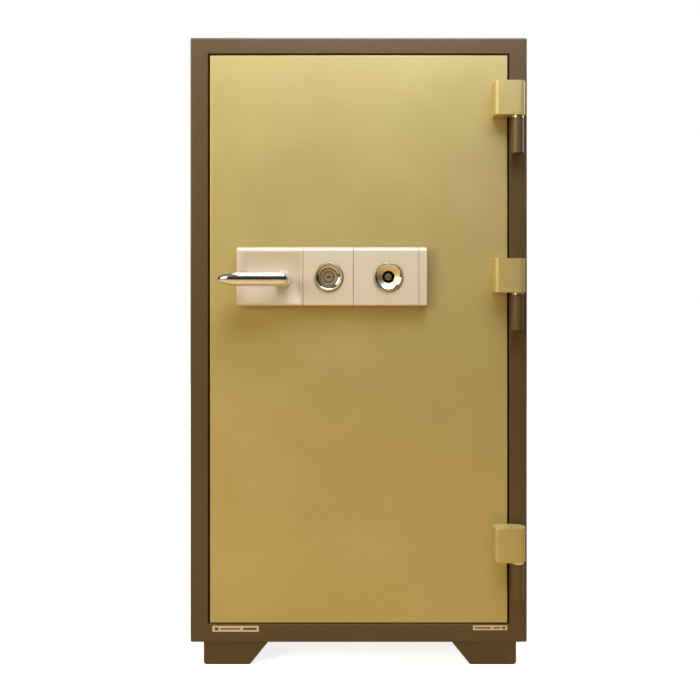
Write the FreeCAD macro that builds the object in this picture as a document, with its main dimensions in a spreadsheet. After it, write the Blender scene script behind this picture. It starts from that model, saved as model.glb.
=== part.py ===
import FreeCAD, Part
import os
import Sketcher

# A free-standing fire-resistant safe with one hinged door, in millimetres, +Z up.
# The origin is on the floor, under the middle of the whole object. The door faces -Y and its
# hinges are on the +X side. Depths are counted from the front plane of the cabinet towards
# the back, and every sub-part's Placement moves it from there into the object's frame.

doc = FreeCAD.newDocument("safe")
sheet = doc.addObject("Spreadsheet::Sheet", "sizes")

DRIVING_SIZES = [
    # cabinet
    ("body_width", 654, "over the side sheets"),
    ("body_depth", 600, "front frame to back sheet"),
    ("body_height", 1174, "over the top and bottom sheets, without the feet"),
    ("body_sheet", 3, "outer sheet steel"),
    ("body_corner", 4, "bend radius of the outer sheet"),
    ("frame_side", 34.5, "front frame, side border"),
    ("frame_top", 31.5, "front frame, top border"),
    ("frame_bottom", 36.3, "front frame, bottom border"),
    ("jamb_sheet", 3, "door jamb sheet steel"),
    ("jamb_shoulder", 20, "step in the jamb that the door slab closes on"),
    ("jamb_clear", 7, "jamb beyond the back of the door"),
    ("liner_sheet", 2, "inner sheet steel"),
    ("liner_step", 18.5, "step from the jamb in to the liner"),
    ("back_fill", 70, "liner to the outside of the back"),
    # feet
    ("foot_height", 46, "floor to cabinet"),
    ("foot_top_width", 127, "along the cabinet"),
    ("foot_sole_width", 90, "along the floor"),
    ("foot_length", 100, "front to back"),
    ("foot_inset", 22.5, "cabinet side to foot, before the offset"),
    ("foot_offset", 2.5, "feet off the cabinet's middle, towards the hinges"),
    ("foot_setback", 6, "cabinet front to foot"),
    ("foot_wall", 4, "plate of the foot"),
    # door
    ("door_gap_side", 3.6, "door slab to frame, sides"),
    ("door_gap_top", 3, "door slab to frame, top"),
    ("door_gap_bottom", 1.8, "door slab to frame, bottom"),
    ("door_sheet", 3, "door skin and pan"),
    ("door_corner", 2, "rounded front edge of the door skin"),
    ("slab_thickness", 40, "door slab"),
    ("slab_clear", 4, "slab to jamb shoulder"),
    ("plug_gap_side", 10.5, "door plug to jamb, sides"),
    ("plug_gap_end", 9.5, "door plug to jamb, top and bottom"),
    ("lock_depth", 62, "door face to boltwork plate"),
    ("plate_sheet", 5, "boltwork plate"),
    ("boltwork_space", 36, "boltwork plate to back cover"),
    ("cover_sheet", 2, "back cover"),
    ("cover_clear", 0.5, "back cover inside the pan"),
    ("seal_width", 10, "intumescent seal"),
    ("seal_thickness", 2.5, "intumescent seal"),
    # hinges
    ("hinge_axis_out", 11.7, "hinge axis to the side of the opening"),
    ("hinge_axis_front", 17.5, "hinge axis in front of the cabinet"),
    ("hinge_radius", 12, "barrel"),
    ("knuckle_end_radius", 14.5, "rounded end of the knuckle"),
    ("knuckle_width", 60, "across the door"),
    ("knuckle_height", 65, "knuckle welded to the door"),
    ("knuckle_corner", 11, "rounded edge on the door side"),
    ("knuckle_bow", 1.5, "front of the knuckle, from the axis down to the rounded edge"),
    ("knuckle_clear", 1, "knuckle to the frame's face"),
    ("washer_height", 5, "thrust washer"),
    ("washer_radius", 11.2, "thrust washer"),
    ("barrel_height", 66.8, "barrel welded to the frame"),
    ("barrel_pad", 14, "width of the barrel's weld pad"),
    ("hinge_pin_radius", 6, "hinge pin"),
    ("hinge_pin_clear", 0.05, "pin in the knuckle, on the radius"),
    ("hinge_pin_cover", 12, "metal left over each end of the pin"),
    ("hinge_top_drop", 89.4, "door top to the top knuckle's middle"),
    ("hinge_foot_rise", 160.5, "door bottom to the lowest knuckle's middle"),
    ("hinge_lock_rise", 3, "lock axes to the middle knuckle's middle"),
    # lock panel
    ("lock_height", 755, "floor to the lock axes"),
    ("panel_inset", 55.1, "door edge to panel"),
    ("panel_height", 112, "panel"),
    ("panel_rise", 1, "panel's middle above the lock axes"),
    ("panel_thickness", 17, "panel in front of the door"),
    ("panel_bevel", 6, "sloped top edge of the panel"),
    ("panel_back", 2, "sheet behind the panel's covers"),
    ("panel_seam", 0.8, "gap between the panel's covers"),
    ("escutcheon_width", 126.6, "cover that holds the lever"),
    ("lock_a_cover_width", 96, "cover of the first lock"),
    ("lock_b_cover_width", 124.9, "cover of the second lock"),
    ("panel_cap_width", 14.8, "end cap"),
    ("scoop_depth", 7, "hollow in the lever's cover"),
    ("scoop_lip", 5, "rim left at the ends of the hollow"),
    ("scoop_edge", 3, "rim left above and below the hollow"),
    # lever
    ("spindle_inset", 88.8, "panel's left end to the spindle"),
    ("spindle_drop", 4, "spindle below the lock axes"),
    ("spindle_radius", 8, "spindle in the door"),
    ("neck_radius", 9.5, "spindle in front of the panel"),
    ("spindle_clear", 0.05, "spindle in its bush, on the radius"),
    ("bush_flange_radius", 16.4, "collar on the panel"),
    ("bush_flange", 4, "collar thickness"),
    ("bush_radius", 11, "sleeve through the door"),
    ("grip_radius", 13.5, "lever, at the spindle"),
    ("grip_length", 119.7, "spindle to the lever's tip"),
    ("grip_straight", 72, "spindle to where the lever tapers"),
    ("grip_tip_radius", 1.5, "lever's tip"),
    ("grip_reach", 62, "cabinet front to the front of the lever"),
    ("crank_pin_radius", 6, "crank pin"),
    ("crank_thickness", 6, "crank plate"),
    ("crank_hub", 14, "radius of the crank round the spindle"),
    ("crank_slope", 2.1445, "crank pin's drop over its sideways offset, for a turn of 50 degrees"),
    # boltwork
    ("bolt_radius", 12.5, "locking bolt"),
    ("bolt_length", 66, "locking bolt in front of the carriage"),
    ("bolt_throw", 30, "travel of the carriage"),
    ("bolt_recess", 1, "withdrawn bolt's end inside the plug"),
    ("bolt_tail_radius", 5, "bolt's tail in the carriage"),
    ("bolt_tail", 12, "bolt's tail"),
    ("bolt_end_inset", 171.5, "plug's ends to the outer bolts"),
    ("bolt_clear", 0.1, "bolt in the guide, on the radius"),
    ("bolt_hole_clear", 0.5, "bolt in the plug's side, on the radius"),
    ("bolt_keeper_clear", 1, "bolt in the jamb, on the radius"),
    ("bolt_end_room", 6, "thrown bolt's end to the fill"),
    ("carriage_sheet", 5, "carriage plate"),
    ("carriage_gap", 3, "carriage to boltwork plate and cover"),
    ("carriage_flange", 6, "flange that carries the bolts"),
    ("carriage_band", 36, "flange and upright of the carriage"),
    ("carriage_end", 30, "carriage beyond the outer bolts"),
    ("carriage_slot_clear", 0.5, "crank pin in the carriage, each side"),
    ("guide_sheet", 8, "bolt guide"),
    ("guide_inset", 10, "bolt guide from the withdrawn bolt's end"),
    ("stud_radius", 4, "carriage guide stud"),
    ("stud_head_radius", 8, "carriage guide stud's head"),
    ("stud_offset", 40, "outer bolts to the studs"),
    ("stud_clear", 0.3, "stud in the carriage"),
    ("keeper_sheet", 8, "strip behind the jamb that takes the bolts"),
    ("keeper_width", 38, "strip, front to back"),
    ("dog_thickness", 12, "fixed dog on the hinge side"),
    ("dog_height", 60, "fixed dog"),
    ("dog_reach", 22, "fixed dog outside the plug"),
    ("dog_room", 7, "in front of a fixed dog, for the door's swing"),
    ("dog_clear", 8, "behind, above and below a fixed dog"),
    # key locks
    ("lock_a_inset", 176.1, "panel's left end to the first lock"),
    ("lock_b_inset", 290.8, "panel's left end to the second lock"),
    ("bezel_radius", 28, "ring round the keyhole"),
    ("bezel_proud", 3, "ring in front of the panel"),
    ("bezel_rim", 5.5, "ring, across its flat"),
    ("dish_depth", 7, "hollow inside the ring"),
    ("plug_radius", 12, "key plug"),
    ("plug_clear", 0.05, "key plug in its sleeve, on the radius"),
    ("plug_sleeve", 3, "wall of the sleeve through the door"),
    ("keyway_width", 10, "keyhole"),
    ("keyway_height", 3.2, "keyhole"),
    ("keyway_depth", 45, "keyhole"),
    ("cam_pin_radius", 2, "pin behind the key plug"),
    ("cam_pin_offset", 6.01, "cam pin to the side of and below the axis, unlocked"),
    ("cam_pin_play", 0.45, "cam pin in the lock bolt, each side"),
    ("lock_case_half", 24, "lock case, half its width"),
    ("lock_case_height", 60, "lock case"),
    ("lock_case_depth", 14, "lock case"),
    ("lock_case_wall", 2, "lock case"),
    ("lock_bolt_width", 12, "lock bolt"),
    ("lock_bolt_thickness", 7, "lock bolt"),
    ("lock_bolt_clear", 0.4, "lock bolt to its case"),
    ("notch_clear", 1, "lock bolt in the carriage's notch, each side"),
    ("notch_depth", 14, "notch in the carriage"),
    ("hard_plate_sheet", 6, "drill-resistant plate"),
    ("hard_plate_border", 5, "panel's edge to drill-resistant plate"),
    # inside
    ("upright_width", 20, "slotted upright"),
    ("upright_sheet", 2.5, "slotted upright"),
    ("upright_end", 20, "liner's top and bottom to the upright"),
    ("upright_inset", 45, "liner's front and back to the upright"),
    ("upright_pitch", 40, "slot to slot"),
    ("upright_slots", 24, "slots in an upright"),
    ("slot_width", 11, "slot in an upright"),
    ("slot_height", 4, "slot in an upright"),
    ("shelf_spacing", 6, "slots from one shelf to the next"),
    ("shelf_sheet", 1.5, "shelf"),
    ("shelf_edge", 22, "folded front and back edges of a shelf"),
    ("shelf_side_clear", 2, "shelf to upright"),
    ("shelf_end_clear", 6, "shelf to the liner's front and back"),
    ("clip_reach", 12, "clip under a shelf"),
    ("clip_sheet", 3, "clip"),
    ("clip_width", 10, "clip"),
    # small plates and screws
    ("label_sheet", 0.4, "blank plates on the front frame"),
    ("left_plate_width", 90.3, "blank plate under the latch side"),
    ("left_plate_height", 11.3, "blank plate under the latch side"),
    ("left_plate_inset", 43.3, "cabinet's side to the plate"),
    ("left_plate_rise", 21.4, "cabinet's bottom to the plate"),
    ("right_plate_width", 66.4, "blank plate under the hinge side"),
    ("right_plate_height", 8.8, "blank plate under the hinge side"),
    ("right_plate_inset", 39, "cabinet's side to the plate"),
    ("right_plate_rise", 24.6, "cabinet's bottom to the plate"),
    ("screw_radius", 4, "back cover screw"),
    ("screw_head_radius", 7, "back cover screw"),
    ("screw_head", 2.5, "back cover screw"),
    ("screw_inset", 30, "plug's edge to a back cover screw"),
]


def size_of(value):
    """A Size from a Size or a bare number."""
    if isinstance(value, Size):
        return value
    return Size(value, repr(float(value)))


class Size:
    """A number together with the expression over the sheet that gives it."""

    def __init__(self, number, text):
        self.number = float(number)
        self.text = text

    def joined(self, sign, other, number):
        return Size(number, f"({self.text} {sign} {other.text})")

    def __add__(self, other):
        other = size_of(other)
        return self.joined("+", other, self.number + other.number)

    def __sub__(self, other):
        other = size_of(other)
        return self.joined("-", other, self.number - other.number)

    def __mul__(self, other):
        other = size_of(other)
        return self.joined("*", other, self.number * other.number)

    def __truediv__(self, other):
        other = size_of(other)
        return self.joined("/", other, self.number / other.number)

    def __radd__(self, other):
        return size_of(other) + self

    def __rsub__(self, other):
        return size_of(other) - self

    def __rmul__(self, other):
        return size_of(other) * self

    def __neg__(self):
        return size_of(0) - self


class Sizes:
    """The driving sizes, each as an attribute."""


s = Sizes()
for row, (alias, value, note) in enumerate(DRIVING_SIZES, start=1):
    sheet.set(f"A{row}", alias)
    sheet.set(f"B{row}", str(value))
    sheet.setAlias(f"B{row}", alias)
    sheet.set(f"C{row}", note)
    setattr(s, alias, Size(value, f"sizes.{alias}"))
doc.recompute()

# Places worked out from the driving sizes. Depths are behind the cabinet's front plane.
front = (s.grip_reach - s.body_depth) / 2
body_half = s.body_width / 2
body_low = s.foot_height
body_top = s.foot_height + s.body_height
open_half = body_half - s.frame_side
open_low = body_low + s.frame_bottom
open_top = body_top - s.frame_top
slab_half = open_half - s.door_gap_side
slab_low = open_low + s.door_gap_bottom
slab_top = open_top - s.door_gap_top
reveal_half = open_half - s.jamb_shoulder
reveal_low = open_low + s.jamb_shoulder
reveal_top = open_top - s.jamb_shoulder
plug_half = reveal_half - s.plug_gap_side
plug_low = reveal_low + s.plug_gap_end
plug_top = reveal_top - s.plug_gap_end
shoulder_depth = s.slab_thickness + s.slab_clear
plate_back = s.lock_depth + s.plate_sheet
cover_front = plate_back + s.boltwork_space
plug_back = cover_front + s.cover_sheet
jamb_back = plug_back + s.jamb_clear
liner_half = reveal_half - s.liner_step
liner_low = reveal_low + s.liner_step
liner_top = reveal_top - s.liner_step
liner_back = s.body_depth - s.back_fill
hinge_x = open_half + s.hinge_axis_out
hinge_depth = -s.hinge_axis_front
panel_left = s.panel_inset - slab_half
panel_low = s.lock_height + s.panel_rise - s.panel_height / 2
panel_top = panel_low + s.panel_height
spindle_x = panel_left + s.spindle_inset
spindle_z = s.lock_height - s.spindle_drop
bolt_depth = plate_back + s.boltwork_space / 2
bolt_tip = s.bolt_recess - plug_half
bolt_root = bolt_tip + s.bolt_length
bolt_heights = {
    "bottom": plug_low + s.bolt_end_inset,
    "middle": (plug_low + plug_top) / 2,
    "top": plug_top - s.bolt_end_inset,
}
hinge_heights = {
    "bottom": slab_low + s.hinge_foot_rise,
    "middle": s.lock_height + s.hinge_lock_rise,
    "top": slab_top - s.hinge_top_drop,
}
carriage_front = plate_back + s.carriage_gap
carriage_back = carriage_front + s.carriage_sheet
case_top = s.lock_height + s.lock_case_height / 2
lock_places = {"a": panel_left + s.lock_a_inset, "b": panel_left + s.lock_b_inset}
bezel_front = -(s.panel_thickness + s.bezel_proud)
sleeve_radius = s.plug_radius + s.plug_clear + s.plug_sleeve

parts = {}


def bind(thing, prop, value):
    """Give a property its number, from the sheet where it has a size there."""
    if isinstance(value, Size):
        thing.setExpression(prop, value.text)
    elif prop.startswith("Placement") or prop.startswith("AttachmentOffset"):
        thing.setExpression(prop, repr(float(value)))
    else:
        setattr(thing, prop, value)


def block(name, x, y, z):
    """A box between two ends along each axis."""
    box = doc.addObject("Part::Box", name)
    for prop, axis, (low, high) in (("Length", "x", x), ("Width", "y", y), ("Height", "z", z)):
        bind(box, prop, high - low)
        bind(box, f"Placement.Base.{axis}", low)
    return box


TURNS = {
    "x": FreeCAD.Rotation(FreeCAD.Vector(0, 1, 0), 90),
    "y": FreeCAD.Rotation(FreeCAD.Vector(1, 0, 0), -90),
    "z": FreeCAD.Rotation(),
}


def rod(name, radius, axis, start, end, x=0, y=0, z=0):
    """A cylinder along an axis, between two ends on it."""
    cylinder = doc.addObject("Part::Cylinder", name)
    cylinder.Placement = FreeCAD.Placement(FreeCAD.Vector(), TURNS[axis])
    bind(cylinder, "Radius", radius)
    bind(cylinder, "Height", end - start)
    base = {"x": x, "y": y, "z": z}
    base[axis] = start
    for letter, place in base.items():
        bind(cylinder, f"Placement.Base.{letter}", place)
    return cylinder


def fuse(name, pieces):
    """One object from several."""
    if len(pieces) == 1:
        return pieces[0]
    whole = doc.addObject("Part::MultiFuse", name)
    whole.Shapes = list(pieces)
    return whole


def cut(name, base, tools):
    """An object with others taken out of it."""
    rest = doc.addObject("Part::Cut", name)
    rest.Base = base
    rest.Tool = fuse(f"{name}_tools", tools)
    return rest


def group(name, pieces):
    """Like pieces that stay apart, kept together."""
    together = doc.addObject("Part::Compound", name)
    together.Links = pieces
    return together


# Each sketch plane, its normal's sign along the axis, and what its own x and y are.
PLANES = {"x": ("YZ_Plane", 1), "y": ("XZ_Plane", -1), "z": ("XY_Plane", 1)}


def new_body(name):
    return doc.addObject("PartDesign::Body", f"{name}_body")


def sketch_on(body, axis, place):
    """A sketch square to an axis of the body, at a place along that axis."""
    role, sign = PLANES[axis]
    plane = next(f for f in body.Origin.OriginFeatures if f.Role == role)
    sketch = body.newObject("Sketcher::SketchObject", f"{body.Name}_sketch")
    sketch.AttachmentSupport = [(plane, "")]
    sketch.MapMode = "FlatFace"
    bind(sketch, "AttachmentOffset.Base.z", place * sign)
    return sketch


def pin_point(sketch, curve, end, across, up):
    """Hold one point of a sketch at its two distances from the sketch's origin."""
    for kind, axis_line, place in (("DistanceX", -2, across), ("DistanceY", -1, up)):
        if not isinstance(place, Size) and place == 0:
            sketch.addConstraint(Sketcher.Constraint("PointOnObject", curve, end, axis_line))
            continue
        place = size_of(place)
        number = sketch.addConstraint(Sketcher.Constraint(kind, -1, 1, curve, end, place.number))
        sketch.setExpression(f"Constraints[{number}]", place.text)


def vector(across, up):
    return FreeCAD.Vector(size_of(across).number, size_of(up).number, 0)


def outline(sketch, corners, bows=None):
    """A closed outline through the corners. bows gives, for the side that leaves a corner, its
    radius and whether the side bulges to the left of the way it runs."""
    bows = bows or {}
    first = sketch.GeometryCount
    count = len(corners)
    ends = {}
    for i, (across, up) in enumerate(corners):
        start = vector(across, up)
        end = vector(*corners[(i + 1) % count])
        ends[i] = (1, 2)
        if i in bows:
            radius, left = bows[i]
            half = (end - start) / 2
            side = FreeCAD.Vector(-half.y, half.x, 0).normalize() * (1 if left else -1)
            rise = radius.number - (radius.number**2 - half.Length**2) ** 0.5
            top = (start + end) / 2 + side * rise
            if left:  # a sketch holds every arc anticlockwise
                start, end = end, start
                ends[i] = (2, 1)
            sketch.addGeometry(Part.Arc(start, top, end))
        else:
            sketch.addGeometry(Part.LineSegment(start, end))
    for i in range(count):
        after = (i + 1) % count
        joint = Sketcher.Constraint("Coincident", first + i, ends[i][1], first + after, ends[after][0])
        sketch.addConstraint(joint)
    for i, (across, up) in enumerate(corners):
        pin_point(sketch, first + i, ends[i][0], across, up)
    for i, (radius, _) in bows.items():
        number = sketch.addConstraint(Sketcher.Constraint("Radius", first + i, radius.number))
        sketch.setExpression(f"Constraints[{number}]", radius.text)


def rectangle(sketch, across, up):
    """A rectangle between two ends each way."""
    (left, right), (low, high) = across, up
    outline(sketch, [(left, low), (right, low), (right, high), (left, high)])


def circle(sketch, across, up, radius):
    curve = sketch.addGeometry(Part.Circle(vector(across, up), FreeCAD.Vector(0, 0, 1), radius.number))
    pin_point(sketch, curve, 3, across, up)
    number = sketch.addConstraint(Sketcher.Constraint("Radius", curve, radius.number))
    sketch.setExpression(f"Constraints[{number}]", radius.text)


def pad(body, axis, span, draw):
    """Material between two places along an axis, over the outline that draw makes."""
    low, high = span
    sketch = sketch_on(body, axis, low)
    draw(sketch)
    feature = body.newObject("PartDesign::Pad", f"{body.Name}_pad")
    feature.Profile = sketch
    feature.Reversed = PLANES[axis][1] < 0
    bind(feature, "Length", high - low)
    return feature


def pocket(body, axis, span, draw):
    """A hollow between two places along an axis, over the outline that draw makes."""
    low, high = span
    sketch = sketch_on(body, axis, high if PLANES[axis][1] > 0 else low)
    draw(sketch)
    feature = body.newObject("PartDesign::Pocket", f"{body.Name}_pocket")
    feature.Profile = sketch
    bind(feature, "Length", high - low)
    return feature


def turned(name, axis, draw):
    """A body made on a lathe about the Y axis (sketched in Y and Z) or the X axis (in X and Z)."""
    body = new_body(name)
    sketch = sketch_on(body, {"y": "x", "x": "y"}[axis], 0)
    draw(sketch)
    feature = body.newObject("PartDesign::Revolution", f"{name}_turning")
    feature.Profile = sketch
    feature.ReferenceAxis = (sketch, ["H_Axis"])
    feature.Angle = 360
    return body


def round_edges(body, radius, wanted):
    """A fillet on the edges of the body that wanted picks."""
    doc.recompute()
    tip = body.Tip
    edges = [f"Edge{i}" for i, edge in enumerate(tip.Shape.Edges, start=1) if wanted(edge)]
    if not edges:
        raise RuntimeError(f"no edge to round on {body.Name}")
    fillet = body.newObject("PartDesign::Fillet", f"{body.Name}_fillet")
    fillet.Base = (tip, edges)
    bind(fillet, "Radius", radius)
    return fillet


def runs_along(edge, axis):
    """Whether a straight edge runs along an axis."""
    if not isinstance(edge.Curve, Part.Line):
        return False
    return abs(getattr(edge.Curve.Direction, axis)) > 0.999


def lies_at(edge, **places):
    """Whether an edge's middle is at the places given."""
    middle = edge.BoundBox.Center
    return all(abs(getattr(middle, axis) - size_of(place).number) < 0.01 for axis, place in places.items())


def finish(name, piece, x=0, y=0, z=0):
    """Name a sub-part and put it in the object's frame."""
    piece.Label = name
    bind(piece, "Placement.Base.x", x)
    bind(piece, "Placement.Base.y", front + y)
    bind(piece, "Placement.Base.z", z)
    parts[name] = piece


def both(half):
    """From minus a half width to plus it."""
    return (-half, half)


# ---------------------------------------------------------------- outer cabinet
# The outer sheet is bent round the sides, top and bottom, closed by the back, and folded in at
# the front to make the frame round the door.
outer = new_body("outer_body")
pad(
    outer,
    "y",
    (size_of(0), s.body_depth),
    lambda sk: rectangle(sk, both(body_half), (body_low, body_top)),
)
round_edges(
    outer,
    s.body_corner,
    lambda e: runs_along(e, "y") or lies_at(e, y=0),
)
pocket(
    outer,
    "y",
    (s.body_sheet, s.body_depth - s.body_sheet),
    lambda sk: rectangle(
        sk,
        both(body_half - s.body_sheet),
        (body_low + s.body_sheet, body_top - s.body_sheet),
    ),
)
pocket(
    outer,
    "y",
    (size_of(0), s.body_sheet),
    lambda sk: rectangle(sk, both(open_half), (open_low, open_top)),
)
finish("outer_body", outer)


# ---------------------------------------------------------------- door jamb
# A stepped tunnel of sheet steel behind the frame. The door slab closes on its shoulder. Its
# latch side has round holes for the bolts and its hinge side has slots for the fixed dogs.
def dog_spans(clear=0):
    """The heights of the fixed dogs, with room above and below."""
    half = s.dog_height / 2 + clear
    return [(height - half, height + half) for height in bolt_heights.values()]


dog_front = bolt_depth - s.dog_thickness / 2
dog_back = bolt_depth + s.dog_thickness / 2
dog_slot = (dog_front - s.dog_room, dog_back + s.dog_clear)
jamb_wall = reveal_half + s.jamb_sheet
keeper_side = jamb_wall + s.keeper_sheet

jamb_outside = fuse(
    "jamb_outside",
    [
        block(
            "jamb_outside_front",
            both(open_half + s.jamb_sheet),
            (s.body_sheet, shoulder_depth + s.jamb_sheet),
            (open_low - s.jamb_sheet, open_top + s.jamb_sheet),
        ),
        block(
            "jamb_outside_back",
            both(jamb_wall),
            (shoulder_depth, jamb_back),
            (reveal_low - s.jamb_sheet, reveal_top + s.jamb_sheet),
        ),
    ],
)
jamb_hollows = [
    block("jamb_front_hollow", both(open_half), (size_of(0), shoulder_depth), (open_low, open_top)),
    block("jamb_back_hollow", both(reveal_half), (s.body_sheet, jamb_back), (reveal_low, reveal_top)),
]
for place, height in bolt_heights.items():
    jamb_hollows.append(
        rod(
            f"jamb_bolt_hole_{place}",
            s.bolt_radius + s.bolt_keeper_clear,
            "x",
            -jamb_wall - s.jamb_sheet,
            -reveal_half + s.jamb_sheet,
            y=bolt_depth,
            z=height,
        )
    )
for number, span in enumerate(dog_spans(s.dog_clear)):
    jamb_hollows.append(
        block(
            f"jamb_dog_slot_{number}",
            (reveal_half - s.jamb_sheet, jamb_wall + s.jamb_sheet),
            dog_slot,
            span,
        )
    )
jamb = cut("jamb", jamb_outside, jamb_hollows)
finish("door_jamb", jamb)

# ---------------------------------------------------------------- keepers
# A thick strip behind each side of the jamb takes the load of the bolts and of the dogs.
keeper_depths = (bolt_depth - s.keeper_width / 2, bolt_depth + s.keeper_width / 2)
keeper_heights = (plug_low + s.plug_gap_end, plug_top - s.plug_gap_end)
bolt_keeper = cut(
    "bolt_keeper_strip",
    block("bolt_keeper_blank", (-keeper_side, -jamb_wall), keeper_depths, keeper_heights),
    [
        rod(
            f"keeper_hole_{place}",
            s.bolt_radius + s.bolt_keeper_clear,
            "x",
            -keeper_side - s.keeper_sheet,
            -jamb_wall + s.keeper_sheet,
            y=bolt_depth,
            z=height,
        )
        for place, height in bolt_heights.items()
    ],
)
finish("bolt_keeper", bolt_keeper)
dog_keeper_depths = (dog_slot[0] - s.dog_clear, dog_slot[1] + s.jamb_clear / 2)
dog_keeper = cut(
    "dog_keeper_strip",
    block("dog_keeper_blank", (jamb_wall, keeper_side), dog_keeper_depths, keeper_heights),
    [
        block(
            f"dog_keeper_slot_{number}",
            (jamb_wall - s.keeper_sheet, keeper_side + s.keeper_sheet),
            dog_slot,
            span,
        )
        for number, span in enumerate(dog_spans(s.dog_clear))
    ],
)
finish("dog_keeper", dog_keeper)

# ---------------------------------------------------------------- inner liner
# A welded box of sheet steel lines the compartment, with a flange that meets the jamb.
liner_out = liner_half + s.liner_sheet
liner_box = fuse(
    "liner_outside",
    [
        block(
            "liner_flange",
            both(jamb_wall),
            (jamb_back, jamb_back + s.liner_sheet),
            (reveal_low - s.jamb_sheet, reveal_top + s.jamb_sheet),
        ),
        block(
            "liner_walls",
            both(liner_out),
            (jamb_back, liner_back + s.liner_sheet),
            (liner_low - s.liner_sheet, liner_top + s.liner_sheet),
        ),
    ],
)
liner_depths = (jamb_back - s.jamb_clear, liner_back)
liner = cut(
    "liner",
    liner_box,
    [block("liner_hollow", both(liner_half), liner_depths, (liner_low, liner_top))],
)
finish("inner_liner", liner)

# ---------------------------------------------------------------- fire-resistant fill
# Cast between the outer sheet, the jamb and the liner, with pockets for the bolts and dogs.
body_fill_tools = [
    block(
        "fill_front_hollow",
        both(open_half + s.jamb_sheet),
        (size_of(0), shoulder_depth + s.jamb_sheet),
        (open_low - s.jamb_sheet, open_top + s.jamb_sheet),
    ),
    block(
        "fill_jamb_hollow",
        both(jamb_wall),
        (shoulder_depth, jamb_back + s.liner_sheet),
        (reveal_low - s.jamb_sheet, reveal_top + s.jamb_sheet),
    ),
    block(
        "fill_liner_hollow",
        both(liner_out),
        (jamb_back, liner_back + s.liner_sheet),
        (liner_low - s.liner_sheet, liner_top + s.liner_sheet),
    ),
    block("fill_bolt_keeper", (-keeper_side, -reveal_half), keeper_depths, keeper_heights),
    block("fill_dog_keeper", (reveal_half, keeper_side), dog_keeper_depths, keeper_heights),
]
for place, height in bolt_heights.items():
    body_fill_tools.append(
        rod(
            f"fill_bolt_pocket_{place}",
            s.bolt_radius + s.bolt_keeper_clear,
            "x",
            bolt_tip - s.bolt_throw - s.bolt_end_room,
            -reveal_half,
            y=bolt_depth,
            z=height,
        )
    )
for number, span in enumerate(dog_spans(s.dog_clear)):
    body_fill_tools.append(
        block(
            f"fill_dog_pocket_{number}",
            (reveal_half, plug_half + s.dog_reach + s.dog_clear),
            dog_slot,
            span,
        )
    )
body_fill = cut(
    "body_fill",
    block(
        "body_fill_blank",
        both(body_half - s.body_sheet),
        (s.body_sheet, s.body_depth - s.body_sheet),
        (body_low + s.body_sheet, body_top - s.body_sheet),
    ),
    body_fill_tools,
)
finish("body_fire_fill", body_fill)


# ---------------------------------------------------------------- feet
# Bent plate shoes under the corners, wide at the cabinet and narrow at the floor.
def foot(name, side, back):
    """side is -1 on the left and 1 on the right; back is whether the foot is at the rear."""
    body = new_body(name)
    outside = (body_half - s.foot_inset) * side + s.foot_offset
    top_inside = outside - s.foot_top_width * side
    sole_inside = outside - s.foot_sole_width * side
    start = s.body_depth - s.foot_setback - s.foot_length if back else s.foot_setback
    corners = [
        (outside, 0),
        (outside, s.foot_height),
        (top_inside, s.foot_height),
        (sole_inside, 0),
    ]
    pad(body, "y", (start, start + s.foot_length), lambda sk: outline(sk, corners))
    round_edges(body, s.foot_wall, lambda e: runs_along(e, "y") and abs(e.BoundBox.Center.z) < 0.01)
    hollow = [outside - s.foot_wall * side, sole_inside + s.foot_wall * side]
    pocket(
        body,
        "z",
        (s.foot_wall, s.foot_height),
        lambda sk: rectangle(
            sk,
            (min(hollow, key=lambda h: h.number), max(hollow, key=lambda h: h.number)),
            (start + s.foot_wall, start + s.foot_length - s.foot_wall),
        ),
    )
    finish(name, body)


for side_name, side in (("left", -1), ("right", 1)):
    foot(f"foot_front_{side_name}", side, False)
    foot(f"foot_rear_{side_name}", side, True)

# ---------------------------------------------------------------- door skin
# The face sheet, folded back at its four edges and in again to the plug.
skin = new_body("door_skin")
pad(
    skin,
    "y",
    (size_of(0), s.slab_thickness),
    lambda sk: rectangle(sk, both(slab_half), (slab_low, slab_top)),
)
round_edges(skin, s.door_corner, lambda e: lies_at(e, y=0))
pocket(
    skin,
    "y",
    (s.door_sheet, s.slab_thickness - s.door_sheet),
    lambda sk: rectangle(
        sk,
        both(slab_half - s.door_sheet),
        (slab_low + s.door_sheet, slab_top - s.door_sheet),
    ),
)
pocket(
    skin,
    "y",
    (s.slab_thickness - s.door_sheet, s.slab_thickness),
    lambda sk: rectangle(sk, both(plug_half), (plug_low, plug_top)),
)


def draw_door_holes(sketch):
    """The holes that the spindle's bush and the key plugs' sleeves pass through."""
    circle(sketch, spindle_x, spindle_z, s.bush_radius)
    for place in lock_places.values():
        circle(sketch, place, s.lock_height, sleeve_radius)


pocket(skin, "y", (size_of(0), s.door_sheet), draw_door_holes)
finish("door_skin", skin)

# ---------------------------------------------------------------- door pan
# The plug on the back of the door: a tray of sheet steel with an open back, with holes for
# the bolts in its latch side and slots for the dogs in its hinge side.
pan_inside = plug_half - s.door_sheet
pan_tools = [
    block(
        "pan_hollow",
        both(pan_inside),
        (size_of(0), plug_back + s.jamb_clear),
        (plug_low + s.door_sheet, plug_top - s.door_sheet),
    )
]
for place, height in bolt_heights.items():
    pan_tools.append(
        rod(
            f"pan_bolt_hole_{place}",
            s.bolt_radius + s.bolt_hole_clear,
            "x",
            -plug_half - s.door_sheet,
            -pan_inside + s.door_sheet,
            y=bolt_depth,
            z=height,
        )
    )
for number, span in enumerate(dog_spans()):
    pan_tools.append(
        block(
            f"pan_dog_slot_{number}",
            (pan_inside - s.door_sheet, plug_half + s.door_sheet),
            (dog_front, dog_back),
            span,
        )
    )
pan = cut(
    "pan",
    block(
        "pan_blank",
        both(plug_half),
        (s.slab_thickness - s.door_sheet, plug_back),
        (plug_low, plug_top),
    ),
    pan_tools,
)
finish("door_pan", pan)

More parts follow.
